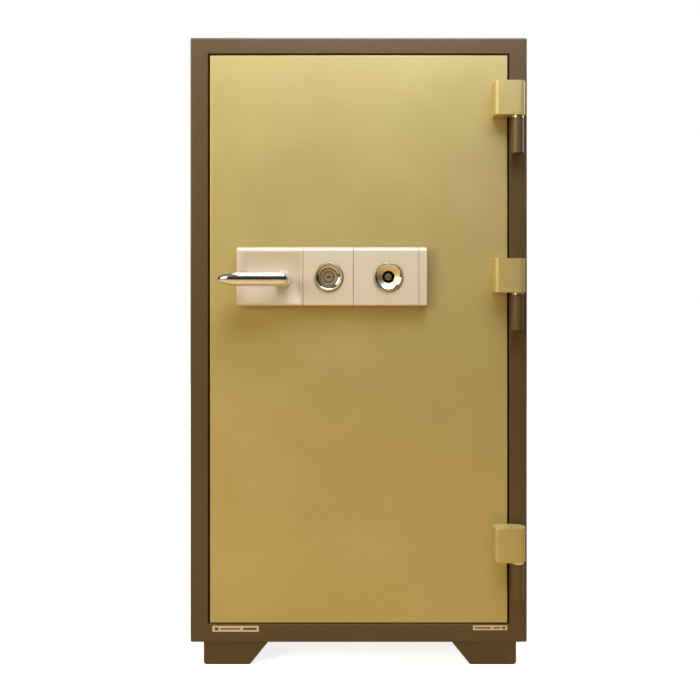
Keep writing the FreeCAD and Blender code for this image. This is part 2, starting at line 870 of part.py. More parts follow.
# ---------------------------------------------------------------- door fill and hard plate
hard_plate_span = (
    (panel_left + s.hard_plate_border, lock_places["b"] + sleeve_radius + s.plug_radius),
    (s.door_sheet, s.door_sheet + s.hard_plate_sheet),
    (panel_low + s.hard_plate_border, panel_top - s.hard_plate_border),
)


def door_hole_rods(name, start, end):
    """Rods where the bush and the sleeves go through a piece of the door."""
    rods = [rod(f"{name}_spindle", s.bush_radius, "y", start, end, x=spindle_x, z=spindle_z)]
    for which, place in lock_places.items():
        rods.append(rod(f"{name}_lock_{which}", sleeve_radius, "y", start, end, x=place, z=s.lock_height))
    return rods


hard_plate = cut(
    "hard_plate_drilled",
    block("hard_plate_blank", *hard_plate_span),
    door_hole_rods("hard_plate_hole", size_of(0), s.door_sheet * 2 + s.hard_plate_sheet),
)
finish("hard_plate", hard_plate)

door_fill = cut(
    "door_fill",
    fuse(
        "door_fill_blank",
        [
            block(
                "door_fill_slab",
                both(slab_half - s.door_sheet),
                (s.door_sheet, s.slab_thickness - s.door_sheet),
                (slab_low + s.door_sheet, slab_top - s.door_sheet),
            ),
            block(
                "door_fill_plug",
                both(pan_inside),
                (s.door_sheet, s.lock_depth),
                (plug_low + s.door_sheet, plug_top - s.door_sheet),
            ),
        ],
    ),
    [block("door_fill_plate_room", *hard_plate_span)]
    + door_hole_rods("door_fill_hole", size_of(0), s.lock_depth + s.plate_sheet),
)
finish("door_fire_fill", door_fill)

# ---------------------------------------------------------------- boltwork plate and back cover
boltwork_plate = cut(
    "boltwork_plate_drilled",
    block(
        "boltwork_plate_blank",
        both(pan_inside),
        (s.lock_depth, plate_back),
        (plug_low + s.door_sheet, plug_top - s.door_sheet),
    ),
    [
        rod(
            "boltwork_plate_spindle_hole",
            s.spindle_radius + s.bolt_clear,
            "y",
            s.lock_depth - s.plate_sheet,
            plate_back + s.plate_sheet,
            x=spindle_x,
            z=spindle_z,
        )
    ]
    + [
        rod(
            f"boltwork_plate_lock_hole_{which}",
            s.plug_radius + s.bolt_clear,
            "y",
            s.lock_depth - s.plate_sheet,
            plate_back + s.plate_sheet,
            x=place,
            z=s.lock_height,
        )
        for which, place in lock_places.items()
    ],
)
finish("boltwork_plate", boltwork_plate)

cover_half = pan_inside - s.cover_clear
cover_low = plug_low + s.door_sheet + s.cover_clear
cover_top = plug_top - s.door_sheet - s.cover_clear
screw_places = [
    (side * (plug_half - s.screw_inset), height)
    for side in (-1, 1)
    for height in (
        plug_low + s.screw_inset,
        (bolt_heights["bottom"] + bolt_heights["middle"]) / 2,
        (bolt_heights["middle"] + bolt_heights["top"]) / 2,
        plug_top - s.screw_inset,
    )
]


def screw_rods(name, radius, start, end):
    return [
        rod(f"{name}_{number}", radius, "y", start, end, x=place, z=height)
        for number, (place, height) in enumerate(screw_places)
    ]


back_cover = cut(
    "back_cover_drilled",
    block("back_cover_blank", both(cover_half), (cover_front, plug_back), (cover_low, cover_top)),
    screw_rods("back_cover_hole", s.screw_radius, cover_front - s.cover_sheet, plug_back + s.cover_sheet),
)
finish("door_back_cover", back_cover)

# Long screws hold the back cover off the boltwork plate.
screw_shanks = screw_rods("cover_screw_shank", s.screw_radius, plate_back, plug_back + s.screw_head / 2)
screw_heads = screw_rods("cover_screw_head", s.screw_head_radius, plug_back, plug_back + s.screw_head)
cover_screws = group(
    "cover_screw_group",
    [fuse(f"cover_screw_{i}", pair) for i, pair in enumerate(zip(screw_shanks, screw_heads))],
)
finish("cover_screws", cover_screws)

# ---------------------------------------------------------------- door seal
# A strip that swells in a fire, stuck round the back of the slab.
seal_out = s.seal_width / 2 + (slab_half + plug_half) / 2
seal_low = (slab_low + plug_low) / 2
seal_top = (slab_top + plug_top) / 2
seal = new_body("door_seal")


def draw_seal(sketch):
    rectangle(sketch, both(seal_out), (seal_low - s.seal_width / 2, seal_top + s.seal_width / 2))
    rectangle(
        sketch,
        both(seal_out - s.seal_width),
        (seal_low + s.seal_width / 2, seal_top - s.seal_width / 2),
    )


pad(seal, "y", (s.slab_thickness, s.slab_thickness + s.seal_thickness), draw_seal)
finish("door_seal", seal)

# ---------------------------------------------------------------- hinges
# Each hinge has a knuckle welded to the door over a barrel welded to the frame, with a thrust
# washer between them and a pin pressed into the barrel.
knuckle_left = hinge_x + s.knuckle_end_radius - s.knuckle_width
knuckle_front = hinge_depth - s.knuckle_end_radius
knuckle_edge = knuckle_front + s.knuckle_bow
bow_run = s.knuckle_width - s.knuckle_end_radius
bow_radius = (bow_run * bow_run / s.knuckle_bow + s.knuckle_bow) / 2


def hinge(place, height):
    knuckle_low = height - s.knuckle_height / 2
    knuckle_high = height + s.knuckle_height / 2
    washer_low = knuckle_low - s.washer_height
    barrel_low = washer_low - s.barrel_height
    pin_low = barrel_low + s.hinge_pin_cover
    pin_high = knuckle_high - s.hinge_pin_cover

    knuckle = new_body(f"hinge_knuckle_{place}")
    corners = [
        (knuckle_left, 0),
        (knuckle_left, knuckle_edge),
        (hinge_x, knuckle_front),
        (hinge_x, hinge_depth + s.knuckle_end_radius),
        (slab_half, -s.knuckle_clear),
        (slab_half - s.door_gap_side, 0),
    ]
    bows = {1: (bow_radius, False)}
    pad(knuckle, "z", (knuckle_low, knuckle_high), lambda sk: outline(sk, corners, bows))
    pad(
        knuckle,
        "z",
        (knuckle_low, knuckle_high),
        lambda sk: circle(sk, hinge_x, hinge_depth, s.knuckle_end_radius),
    )
    round_edges(
        knuckle,
        s.knuckle_corner,
        lambda e: runs_along(e, "z") and lies_at(e, x=knuckle_left, y=knuckle_edge),
    )
    pocket(
        knuckle,
        "z",
        (knuckle_low, pin_high + s.hinge_pin_clear),
        lambda sk: circle(sk, hinge_x, hinge_depth, s.hinge_pin_radius + s.hinge_pin_clear),
    )
    finish(f"hinge_knuckle_{place}", knuckle)

    bore_end = washer_low + s.washer_height
    barrel = cut(
        f"hinge_barrel_bored_{place}",
        fuse(
            f"hinge_barrel_blank_{place}",
            [
                rod(
                    f"barrel_{place}",
                    s.hinge_radius,
                    "z",
                    barrel_low,
                    washer_low,
                    x=hinge_x,
                    y=hinge_depth,
                ),
                block(
                    f"barrel_pad_{place}",
                    (hinge_x - s.barrel_pad / 2, hinge_x + s.barrel_pad / 2),
                    (hinge_depth, size_of(0)),
                    (barrel_low, washer_low),
                ),
            ],
        ),
        [
            rod(
                f"barrel_bore_{place}",
                s.hinge_pin_radius,
                "z",
                pin_low,
                bore_end,
                x=hinge_x,
                y=hinge_depth,
            )
        ],
    )
    finish(f"hinge_barrel_{place}", barrel)

    pin = rod(f"pin_{place}", s.hinge_pin_radius, "z", pin_low, pin_high)
    finish(f"hinge_pin_{place}", pin, x=hinge_x, y=hinge_depth, z=pin_low)

    return cut(
        f"washer_bored_{place}",
        rod(f"washer_{place}", s.washer_radius, "z", washer_low, knuckle_low, x=hinge_x, y=hinge_depth),
        [
            rod(
                f"washer_bore_{place}",
                s.hinge_pin_radius,
                "z",
                barrel_low,
                knuckle_high,
                x=hinge_x,
                y=hinge_depth,
            )
        ],
    )


washers = [hinge(place, height) for place, height in hinge_heights.items()]
finish("hinge_washers", group("washer_group", washers))

# ---------------------------------------------------------------- lock panel
# Four covers side by side on a backing sheet. Each is a moulding with a sloped top edge.
panel_front = -s.panel_thickness
panel_parts = {}
panel_end = panel_left
for name, width in (
    ("handle_escutcheon", s.escutcheon_width),
    ("lock_cover_left", s.lock_a_cover_width),
    ("lock_cover_right", s.lock_b_cover_width),
    ("panel_end_cap", s.panel_cap_width),
):
    panel_parts[name] = (panel_end, panel_end + width)
    panel_end = panel_end + width + s.panel_seam


def panel_moulding(name):
    """The blank of one cover of the panel."""
    body = new_body(name)
    small_bevel = s.panel_bevel / 3
    pad(
        body,
        "x",
        panel_parts[name],
        lambda sk: outline(
            sk,
            [
                (-s.panel_back, panel_low),
                (-s.panel_back, panel_top),
                (panel_front + s.panel_bevel * 1.5, panel_top),
                (panel_front, panel_top - s.panel_bevel),
                (panel_front, panel_low + small_bevel),
                (panel_front + small_bevel, panel_low),
            ],
        ),
    )
    return body


# The lever's cover is hollowed so that fingers reach behind the lever.
escutcheon = panel_moulding("handle_escutcheon")
scoop_low = panel_low + s.panel_bevel / 3 + s.scoop_edge
scoop_high = panel_top - s.panel_bevel - s.scoop_edge
scoop_chord = scoop_high - scoop_low
scoop_radius = scoop_chord * scoop_chord / (s.scoop_depth * 8) + s.scoop_depth / 2
escutcheon_left, escutcheon_right = panel_parts["handle_escutcheon"]
pocket(
    escutcheon,
    "x",
    (escutcheon_left + s.scoop_lip, escutcheon_right - s.scoop_lip),
    lambda sk: outline(
        sk,
        [
            (panel_front, scoop_low),
            (panel_front, scoop_high),
            (panel_front - s.panel_bevel, scoop_high),
            (panel_front - s.panel_bevel, scoop_low),
        ],
        {0: (scoop_radius, False)},
    ),
)
bush_front = panel_front + s.scoop_depth - s.bush_flange
for bore_end, bore in (
    (bush_front + s.bush_flange, s.bush_flange_radius),
    (size_of(0), s.bush_radius),
):
    pocket(
        escutcheon,
        "y",
        (panel_front - s.panel_bevel, bore_end),
        lambda sk: circle(sk, spindle_x, spindle_z, bore),
    )
finish("handle_escutcheon", escutcheon)

for which, name in (("a", "lock_cover_left"), ("b", "lock_cover_right")):
    cover = panel_moulding(name)
    pocket(
        cover,
        "y",
        (panel_front - s.panel_bevel, size_of(0)),
        lambda sk: circle(sk, lock_places[which], s.lock_height, s.bezel_radius - s.bezel_rim / 2),
    )
    finish(name, cover)
finish("panel_end_cap", panel_moulding("panel_end_cap"))

panel_backing = new_body("panel_backing")


def draw_backing(sketch):
    rectangle(sketch, (panel_left, panel_parts["panel_end_cap"][1]), (panel_low, panel_top))
    draw_door_holes(sketch)


pad(panel_backing, "y", (-s.panel_back, size_of(0)), draw_backing)
finish("panel_backing", panel_backing)

# ---------------------------------------------------------------- key locks
# A dished ring on the panel, in one piece with a sleeve through the door, holds each key plug.
# A pin behind the plug lifts the lock bolt, which drops into a notch of the carriage.
case_front = plate_back
case_back = plate_back + s.lock_case_depth
case_floor = case_front + s.lock_case_wall
plug_end = case_floor + s.lock_bolt_clear
lock_bolt_front = plug_end + s.lock_bolt_clear
lock_bolt_back = lock_bolt_front + s.lock_bolt_thickness
bezel_seat = s.bezel_radius - s.bezel_rim
dish_floor = bezel_front + s.dish_depth
lock_bolt_half = s.lock_bolt_width / 2
cam_pin_reach = s.cam_pin_offset * 2**0.5
foot_right = cam_pin_reach + s.cam_pin_radius * 3


def draw_bezel(sketch):
    bore = s.plug_radius + s.plug_clear
    outline(
        sketch,
        [
            (panel_front, bezel_seat + s.bezel_rim / 2),
            (panel_front, s.bezel_radius),
            (bezel_front + s.bezel_proud / 3, s.bezel_radius),
            (bezel_front, s.bezel_radius - s.bezel_proud / 3),
            (bezel_front, bezel_seat),
            (dish_floor, bore + s.bezel_proud),
            (dish_floor, bore),
            (s.lock_depth, bore),
            (s.lock_depth, sleeve_radius),
            (-s.panel_back, sleeve_radius),
            (-s.panel_back, bezel_seat + s.bezel_rim / 2),
        ],
    )


def key_lock(which, place):
    finish(f"lock_bezel_{which}", turned(f"lock_bezel_{which}", "y", draw_bezel), x=place, z=s.lock_height)

    plug = turned(
        f"key_plug_{which}",
        "y",
        lambda sk: rectangle(sk, (dish_floor, plug_end), (0, s.plug_radius)),
    )
    pocket(
        plug,
        "y",
        (dish_floor, dish_floor + s.keyway_depth),
        lambda sk: rectangle(sk, both(s.keyway_width / 2), both(s.keyway_height / 2)),
    )
    pad(
        plug,
        "y",
        (plug_end, lock_bolt_back),
        lambda sk: circle(sk, s.cam_pin_offset, -s.cam_pin_offset, s.cam_pin_radius),
    )
    finish(f"key_plug_{which}", plug, x=place, z=s.lock_height)

    case = cut(
        f"lock_case_hollowed_{which}",
        block(
            f"lock_case_blank_{which}",
            (place - s.lock_case_half, place + s.lock_case_half),
            (case_front, case_back),
            (s.lock_height - s.lock_case_height / 2, case_top),
        ),
        [
            block(
                f"lock_case_hollow_{which}",
                (place - s.lock_case_half + s.lock_case_wall, place + s.lock_case_half - s.lock_case_wall),
                (case_floor, case_back - s.lock_case_wall),
                (s.lock_height - s.lock_case_height / 2 + s.lock_case_wall, case_top - s.lock_case_wall),
            ),
            block(
                f"lock_case_mouth_{which}",
                (place - lock_bolt_half - s.lock_bolt_clear, place + lock_bolt_half + s.lock_bolt_clear),
                (lock_bolt_front - s.lock_bolt_clear, lock_bolt_back + s.lock_bolt_clear),
                (s.lock_height, case_top + s.lock_case_wall),
            ),
            rod(
                f"lock_case_hole_{which}",
                s.plug_radius + s.lock_bolt_clear,
                "y",
                s.lock_depth,
                case_floor + s.lock_bolt_clear,
                x=place,
                z=s.lock_height,
            ),
        ],
    )
    finish(f"lock_case_{which}", case)

    # The lock bolt's foot reaches sideways to the cam pin, which works in its level slot.
    bolt = new_body(f"lock_bolt_{which}")
    slot_half = s.cam_pin_radius + s.cam_pin_play
    shank = (place - lock_bolt_half, place + lock_bolt_half)
    foot_span = (place - lock_bolt_half, place + foot_right)
    slot_middle = s.lock_height - s.cam_pin_offset
    pad(
        bolt,
        "y",
        (lock_bolt_front, lock_bolt_back),
        lambda sk: rectangle(sk, foot_span, (slot_middle - slot_half * 2, slot_middle + slot_half * 2)),
    )
    pad(
        bolt,
        "y",
        (lock_bolt_front, lock_bolt_back),
        lambda sk: rectangle(sk, shank, (slot_middle, case_top - s.lock_bolt_clear)),
    )
    pocket(
        bolt,
        "y",
        (lock_bolt_front, lock_bolt_back),
        lambda sk: rectangle(
            sk,
            (
                place + s.cam_pin_offset - slot_half,
                place + cam_pin_reach + slot_half,
            ),
            (slot_middle - slot_half, slot_middle + slot_half),
        ),
    )
    finish(f"lock_bolt_{which}", bolt)


for which, place in lock_places.items():
    key_lock(which, place)

# ---------------------------------------------------------------- lever, spindle and crank
grip_depth = s.grip_radius - s.grip_reach


def draw_grip(sketch):
    """Half of the lever's side view, from its round end at the spindle to its tip."""
    taper_run = s.grip_length - s.grip_straight
    taper_drop = s.grip_radius - s.grip_tip_radius
    taper_radius = (taper_run * taper_run + taper_drop * taper_drop) / (taper_drop * 2)
    outline(
        sketch,
        [
            (-s.grip_length, 0),
            (-s.grip_length, s.grip_tip_radius),
            (-s.grip_straight, s.grip_radius),
            (size_of(0), s.grip_radius),
            (s.grip_radius, 0),
        ],
        {1: (taper_radius, True), 3: (s.grip_radius, True)},
    )


grip = turned("handle_grip", "x", draw_grip)
pocket(
    grip,
    "y",
    (size_of(0), s.grip_radius),
    lambda sk: circle(sk, 0, 0, s.neck_radius),
)
finish("handle_grip", grip, x=spindle_x, y=grip_depth, z=spindle_z)

spindle_end = carriage_back + s.crank_thickness + s.carriage_gap
spindle = turned(
    "handle_spindle",
    "y",
    lambda sk: outline(
        sk,
        [
            (grip_depth, 0),
            (spindle_end, 0),
            (spindle_end, s.spindle_radius),
            (panel_front, s.spindle_radius),
            (panel_front, s.neck_radius),
            (grip_depth, s.neck_radius),
        ],
    ),
)
finish("handle_spindle", spindle, x=spindle_x, z=spindle_z)

neck_bore = s.neck_radius + s.spindle_clear
bush = turned(
    "handle_bush",
    "y",
    lambda sk: outline(
        sk,
        [
            (bush_front, neck_bore),
            (bush_front, s.bush_flange_radius - s.bush_flange / 4),
            (bush_front + s.bush_flange / 4, s.bush_flange_radius),
            (bush_front + s.bush_flange, s.bush_flange_radius),
            (bush_front + s.bush_flange, s.bush_radius),
            (s.lock_depth, s.bush_radius),
            (s.lock_depth, s.spindle_radius + s.spindle_clear),
            (-s.panel_back, s.spindle_radius + s.spindle_clear),
            (-s.panel_back, neck_bore),
        ],
    ),
)
finish("handle_bush", bush, x=spindle_x, z=spindle_z)

crank_front = carriage_back + s.carriage_gap / 3
crank_back = crank_front + s.crank_thickness
crank_side = s.bolt_throw / 2
crank_drop = crank_side * s.crank_slope
crank_eye = s.crank_pin_radius * 1.5
crank = new_body("crank")
for draw_crank in (
    lambda sk: circle(sk, 0, 0, s.crank_hub),
    lambda sk: circle(sk, crank_side, -crank_drop, crank_eye),
    lambda sk: outline(
        sk,
        [
            (-s.crank_hub, 0),
            (s.crank_hub, 0),
            (crank_side + crank_eye, -crank_drop),
            (crank_side - crank_eye, -crank_drop),
        ],
    ),
):
    pad(crank, "y", (crank_front, crank_back), draw_crank)
pad(
    crank,
    "y",
    (carriage_front, crank_back),
    lambda sk: circle(sk, crank_side, -crank_drop, s.crank_pin_radius),
)
pocket(crank, "y", (crank_front, crank_back), lambda sk: circle(sk, 0, 0, s.spindle_radius))
finish("spindle_crank", crank, x=spindle_x, z=spindle_z)

# ---------------------------------------------------------------- bolt carriage and bolts
# The carriage is a plate with a flange. The crank pin moves it sideways in an upright slot, two
# studs guide it, and notches in its arm take the lock bolts with the bolts in or out.
carriage_low = bolt_heights["bottom"] - s.carriage_end
carriage_high = bolt_heights["top"] + s.carriage_end
band_right = bolt_root + s.carriage_band
arm_low = case_top + s.lock_case_wall
arm_high = arm_low + s.notch_depth * 3
window_half = s.spindle_radius + s.carriage_gap
slot_half_width = s.crank_pin_radius + s.carriage_slot_clear
slot_low = -(crank_drop + crank_eye)
centre_right = spindle_x + s.bolt_throw + window_half + crank_eye
arm_right = lock_places["b"] + s.bolt_throw + s.lock_bolt_width + s.notch_clear
stud_x = bolt_root + s.carriage_flange + s.stud_radius * 2
stud_heights = (bolt_heights["bottom"] + s.stud_offset, bolt_heights["top"] - s.stud_offset)
ear_half = s.stud_head_radius * 2

carriage = new_body("bolt_carriage")
carriage_sheets = [
    ((bolt_root, band_right), (carriage_low, carriage_high)),
    ((bolt_root, centre_right), (spindle_z + slot_low - s.crank_pin_radius, arm_high)),
    ((bolt_root, arm_right), (arm_low, arm_high)),
]
for height in stud_heights:
    ear_right = stud_x + s.bolt_throw + s.stud_head_radius * 2
    carriage_sheets.append(((bolt_root, ear_right), (height - ear_half, height + ear_half)))
for across, up in carriage_sheets:
    pad(carriage, "y", (carriage_front, carriage_back), lambda sk: rectangle(sk, across, up))
pad(
    carriage,
    "y",
    (carriage_front, cover_front - s.carriage_gap),
    lambda sk: rectangle(sk, (bolt_root, bolt_root + s.carriage_flange), (carriage_low, carriage_high)),
)
carriage_openings = [
    (
        (spindle_x - window_half, spindle_x + s.bolt_throw + window_half),
        (spindle_z - window_half, spindle_z + window_half),
    ),
    (
        (spindle_x + crank_side - slot_half_width, spindle_x + crank_side + slot_half_width),
        (
            spindle_z - crank_drop - s.crank_pin_radius * 2 + s.carriage_slot_clear * 4,
            spindle_z - crank_drop + s.crank_pin_radius + s.carriage_slot_clear * 2,
        ),
    ),
]
notch_half = lock_bolt_half + s.notch_clear
for place in lock_places.values():
    for travel in (0, s.bolt_throw):
        centre = place + travel
        notch = (centre - notch_half, centre + notch_half)
        carriage_openings.append((notch, (arm_low, arm_low + s.notch_depth)))
for height in stud_heights:
    half = s.stud_radius + s.stud_clear
    stud_run = (stud_x - half, stud_x + s.bolt_throw + half)
    carriage_openings.append((stud_run, (height - half, height + half)))
for across, up in carriage_openings:
    pocket(carriage, "y", (carriage_front, carriage_back), lambda sk: rectangle(sk, across, up))


def draw_tail_holes(sketch):
    for height in bolt_heights.values():
        circle(sketch, bolt_depth, height, s.bolt_tail_radius)


pocket(carriage, "x", (bolt_root, bolt_root + s.carriage_flange), draw_tail_holes)
finish("bolt_carriage", carriage)

for place, height in bolt_heights.items():
    bolt = turned(
        f"locking_bolt_{place}",
        "x",
        lambda sk: outline(
            sk,
            [
                (bolt_tip, 0),
                (bolt_tip, s.bolt_radius - s.bolt_recess * 2),
                (bolt_tip + s.bolt_recess * 2, s.bolt_radius),
                (bolt_root, s.bolt_radius),
                (bolt_root, s.bolt_tail_radius),
                (bolt_root + s.bolt_tail, s.bolt_tail_radius),
                (bolt_root + s.bolt_tail, 0),
            ],
        ),
    )
    finish(f"locking_bolt_{place}", bolt, y=bolt_depth, z=height)

# ---------------------------------------------------------------- guides, studs and dogs
guide_left = bolt_tip + s.guide_inset
guide = cut(
    "bolt_guide_drilled",
    block(
        "bolt_guide_blank",
        (guide_left, guide_left + s.guide_sheet),
        (plate_back, cover_front - s.carriage_gap),
        (carriage_low, carriage_high),
    ),
    [
        rod(
            f"bolt_guide_hole_{place}",
            s.bolt_radius + s.bolt_clear,
            "x",
            guide_left - s.guide_sheet,
            guide_left + s.guide_sheet * 2,
            y=bolt_depth,
            z=height,
        )
        for place, height in bolt_heights.items()
    ],
)
finish("bolt_guide", guide)

studs = []
for number, height in enumerate(stud_heights):
    head_front = carriage_back + s.carriage_gap / 6
    head_back = head_front + s.stud_radius
    shank = rod(f"stud_shank_{number}", s.stud_radius, "y", plate_back, head_front, x=stud_x, z=height)
    head = rod(f"stud_head_{number}", s.stud_head_radius, "y", head_front, head_back, x=stud_x, z=height)
    studs.append(fuse(f"stud_{number}", [shank, head]))
finish("carriage_studs", group("stud_group", studs))

dog_bar = fuse(
    "dog_bar_whole",
    [
        block(
            "dog_bar_upright",
            (pan_inside - s.dog_thickness, pan_inside),
            (plate_back, dog_back),
            (carriage_low, carriage_high),
        )
    ]
    + [
        block(
            f"dog_{number}",
            (pan_inside - s.dog_thickness / 2, plug_half + s.dog_reach),
            (dog_front, dog_back),
            span,
        )
        for number, span in enumerate(dog_spans())
    ],
)
finish("dog_bar", dog_bar)

# ---------------------------------------------------------------- compartment
# Slotted uprights on the side walls carry clips, and each shelf rests on four clips.
upright_low = liner_low + s.upright_end
first_slot = upright_low + s.upright_pitch / 2
upright_high = upright_low + s.upright_pitch * s.upright_slots
upright_depths = {
    "front": jamb_back + s.liner_sheet + s.upright_inset,
    "rear": liner_back - s.upright_inset - s.upright_width,
}


def upright(name, side, depth):
    """One slotted strip, welded to a side wall of the liner."""
    body = new_body(name)
    wall = liner_half * side
    inside = wall - s.upright_sheet * side
    across = (inside, wall) if side > 0 else (wall, inside)
    pad(
        body,
        "z",
        (upright_low, upright_high),
        lambda sk: rectangle(sk, across, (depth, depth + s.upright_width)),
    )
    middle = depth + s.upright_width / 2
    slot = pocket(
        body,
        "x",
        across,
        lambda sk: rectangle(
            sk,
            (middle - s.slot_width / 2, middle + s.slot_width / 2),
            (first_slot - s.slot_height / 2, first_slot + s.slot_height / 2),
        ),
    )
    row = body.newObject("PartDesign::LinearPattern", f"{name}_slots")
    row.Originals = [slot]
    row.Direction = (slot.Profile[0], ["V_Axis"])
    bind(row, "Length", s.upright_pitch * (s.upright_slots - 1))
    bind(row, "Occurrences", s.upright_slots)
    body.Tip = row
    return body


for side_name, side in (("left", -1), ("right", 1)):
    pair = [upright(f"upright_{side_name}_{end}", side, depth) for end, depth in upright_depths.items()]
    finish(f"shelf_uprights_{side_name}", group(f"uprights_{side_name}", pair))

shelf_half = liner_half - s.upright_sheet - s.shelf_side_clear
shelf_front = jamb_back + s.liner_sheet + s.shelf_end_clear
shelf_back = liner_back - s.shelf_end_clear
clips = []
for count, level in enumerate(("lower", "middle", "upper"), start=1):
    clip_low = first_slot + s.upright_pitch * s.shelf_spacing * count - s.slot_height / 2
    shelf_low = clip_low + s.clip_sheet
    shelf = new_body(f"shelf_{level}")
    edge_low = shelf_low - s.shelf_edge + s.shelf_sheet
    pad(
        shelf,
        "x",
        both(shelf_half),
        lambda sk: outline(
            sk,
            [
                (shelf_front, edge_low),
                (shelf_front, shelf_low + s.shelf_sheet),
                (shelf_back, shelf_low + s.shelf_sheet),
                (shelf_back, edge_low),
                (shelf_back - s.shelf_sheet, edge_low),
                (shelf_back - s.shelf_sheet, shelf_low),
                (shelf_front + s.shelf_sheet, shelf_low),
                (shelf_front + s.shelf_sheet, edge_low),
            ],
        ),
    )
    finish(f"shelf_{level}", shelf)
    for side in (-1, 1):
        for end_name, depth in upright_depths.items():
            middle = depth + s.upright_width / 2
            outer_end = liner_half * side
            inner_end = (liner_half - s.upright_sheet - s.clip_reach) * side
            across = (inner_end, outer_end) if side > 0 else (outer_end, inner_end)
            clips.append(
                block(
                    f"clip_{level}_{end_name}_{'right' if side > 0 else 'left'}",
                    across,
                    (middle - s.clip_width / 2, middle + s.clip_width / 2),
                    (clip_low, clip_low + s.clip_sheet),
                )
            )
finish("shelf_clips", group("clip_group", clips))

# ---------------------------------------------------------------- blank plates
# Two small plates riveted to the bottom border of the frame, left without lettering.
left_edge = s.left_plate_inset - body_half
right_edge = body_half - s.right_plate_inset
for name, across, low, height in (
    (
        "plate_left",
        (left_edge, left_edge + s.left_plate_width),
        body_low + s.left_plate_rise,
        s.left_plate_height,
    ),
    (
        "plate_right",
        (right_edge - s.right_plate_width, right_edge),
        body_low + s.right_plate_rise,
        s.right_plate_height,
    ),
):
    plate = new_body(name)
    plate_span = (-s.label_sheet, size_of(0))
    pad(plate, "y", plate_span, lambda sk: rectangle(sk, across, (low, low + height)))
    finish(name, plate)

# ---------------------------------------------------------------- check and write
doc.recompute()
for thing in doc.Objects:
    if "Invalid" in thing.State or "Error" in thing.State:
        raise RuntimeError(f"{thing.Name} ({thing.Label}) failed: {thing.State}")
for name, piece in parts.items():
    if piece.Shape.isNull() or not piece.Shape.isValid() or not piece.Shape.Solids:
        raise RuntimeError(f"{name} has no valid solid")
os.makedirs("parts", exist_ok=True)
for name, piece in parts.items():
    piece.Shape.exportStep(os.path.join("parts", f"{name}.step"))
print(len(parts), "sub-parts written")
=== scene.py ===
import math

import bmesh
import bpy
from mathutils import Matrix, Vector


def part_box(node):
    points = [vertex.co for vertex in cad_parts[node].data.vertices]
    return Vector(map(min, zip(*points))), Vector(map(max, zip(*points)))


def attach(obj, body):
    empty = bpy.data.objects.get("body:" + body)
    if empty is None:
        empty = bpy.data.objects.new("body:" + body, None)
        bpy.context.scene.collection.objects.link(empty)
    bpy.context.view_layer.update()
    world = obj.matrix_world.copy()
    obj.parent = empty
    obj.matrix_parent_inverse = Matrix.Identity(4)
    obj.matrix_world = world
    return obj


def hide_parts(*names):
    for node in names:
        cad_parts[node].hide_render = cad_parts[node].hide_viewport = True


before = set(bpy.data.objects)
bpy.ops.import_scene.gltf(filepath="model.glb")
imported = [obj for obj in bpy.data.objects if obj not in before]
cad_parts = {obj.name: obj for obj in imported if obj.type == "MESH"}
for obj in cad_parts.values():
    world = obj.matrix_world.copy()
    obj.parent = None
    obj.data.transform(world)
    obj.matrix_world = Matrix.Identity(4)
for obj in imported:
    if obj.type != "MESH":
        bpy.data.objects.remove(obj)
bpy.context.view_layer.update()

# ------------------------------------------------------------------ camera
# A level camera stands in front of the door, a little above the safe's middle, with the whole
# safe in the frame and its uprights parallel.
CAMERA_DISTANCE = 1.40
CAMERA_HEIGHT = 0.735
FRAME_WIDTH = 1.3575  # metres across the picture at the cabinet's front plane
FRAME_MIDDLE = 0.6136  # height of the picture's middle there
FRAME_SIDESTEP = -0.0124  # shift of the picture to the left, in picture widths
shell_low, shell_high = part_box("outer_body")
front_y = shell_low.y
camera_data = bpy.data.cameras.new("camera")
camera_data.sensor_width = 36
camera_data.lens = camera_data.sensor_width * CAMERA_DISTANCE / FRAME_WIDTH
camera_data.shift_x = FRAME_SIDESTEP
camera_data.shift_y = (FRAME_MIDDLE - CAMERA_HEIGHT) / FRAME_WIDTH
camera_data.clip_end = 60
camera = bpy.data.objects.new("camera", camera_data)
camera.location = (0, front_y - CAMERA_DISTANCE, CAMERA_HEIGHT)
camera.rotation_euler = (math.radians(90), 0, 0)
bpy.context.scene.collection.objects.link(camera)
bpy.context.scene.camera = camera
bpy.context.scene.view_settings.view_transform = "Standard"

# ------------------------------------------------------------------ studio
# A pale paper floor, a strip of cool light close above the door, a weak one overhead and a warm
# soft box in front on the left. Two more light the right side and the back.

def linear(hex_colour):
    """An sRGB hex colour as linear red, green, blue and alpha."""
    parts = [int(hex_colour[i : i + 2], 16) / 255 for i in (1, 3, 5)]
    return [p / 12.92 if p <= 0.04045 else ((p + 0.055) / 1.055) ** 2.4 for p in parts] + [1]


def add(tree, kind, settings=None, links=None):
    """A node with its settings: sockets by name or number, other properties by name. links gives
    the output that feeds each input."""
    node = tree.nodes.new(kind)
    for key, value in (settings or {}).items():
        if isinstance(key, int) or key in node.inputs:
            node.inputs[key].default_value = value
        else:
            setattr(node, key, value)
    for key, output in (links or {}).items():
        tree.links.new(output, node.inputs[key])
    return node


def new_material(name):
    """An empty material and its node tree."""
    material = bpy.data.materials.new(name)
    material.use_nodes = True
    material.node_tree.nodes.clear()
    return material, material.node_tree


def close(tree, shader):
    """The shader goes to the surface."""
    add(tree, "ShaderNodeOutputMaterial", links={"Surface": shader.outputs[0]})


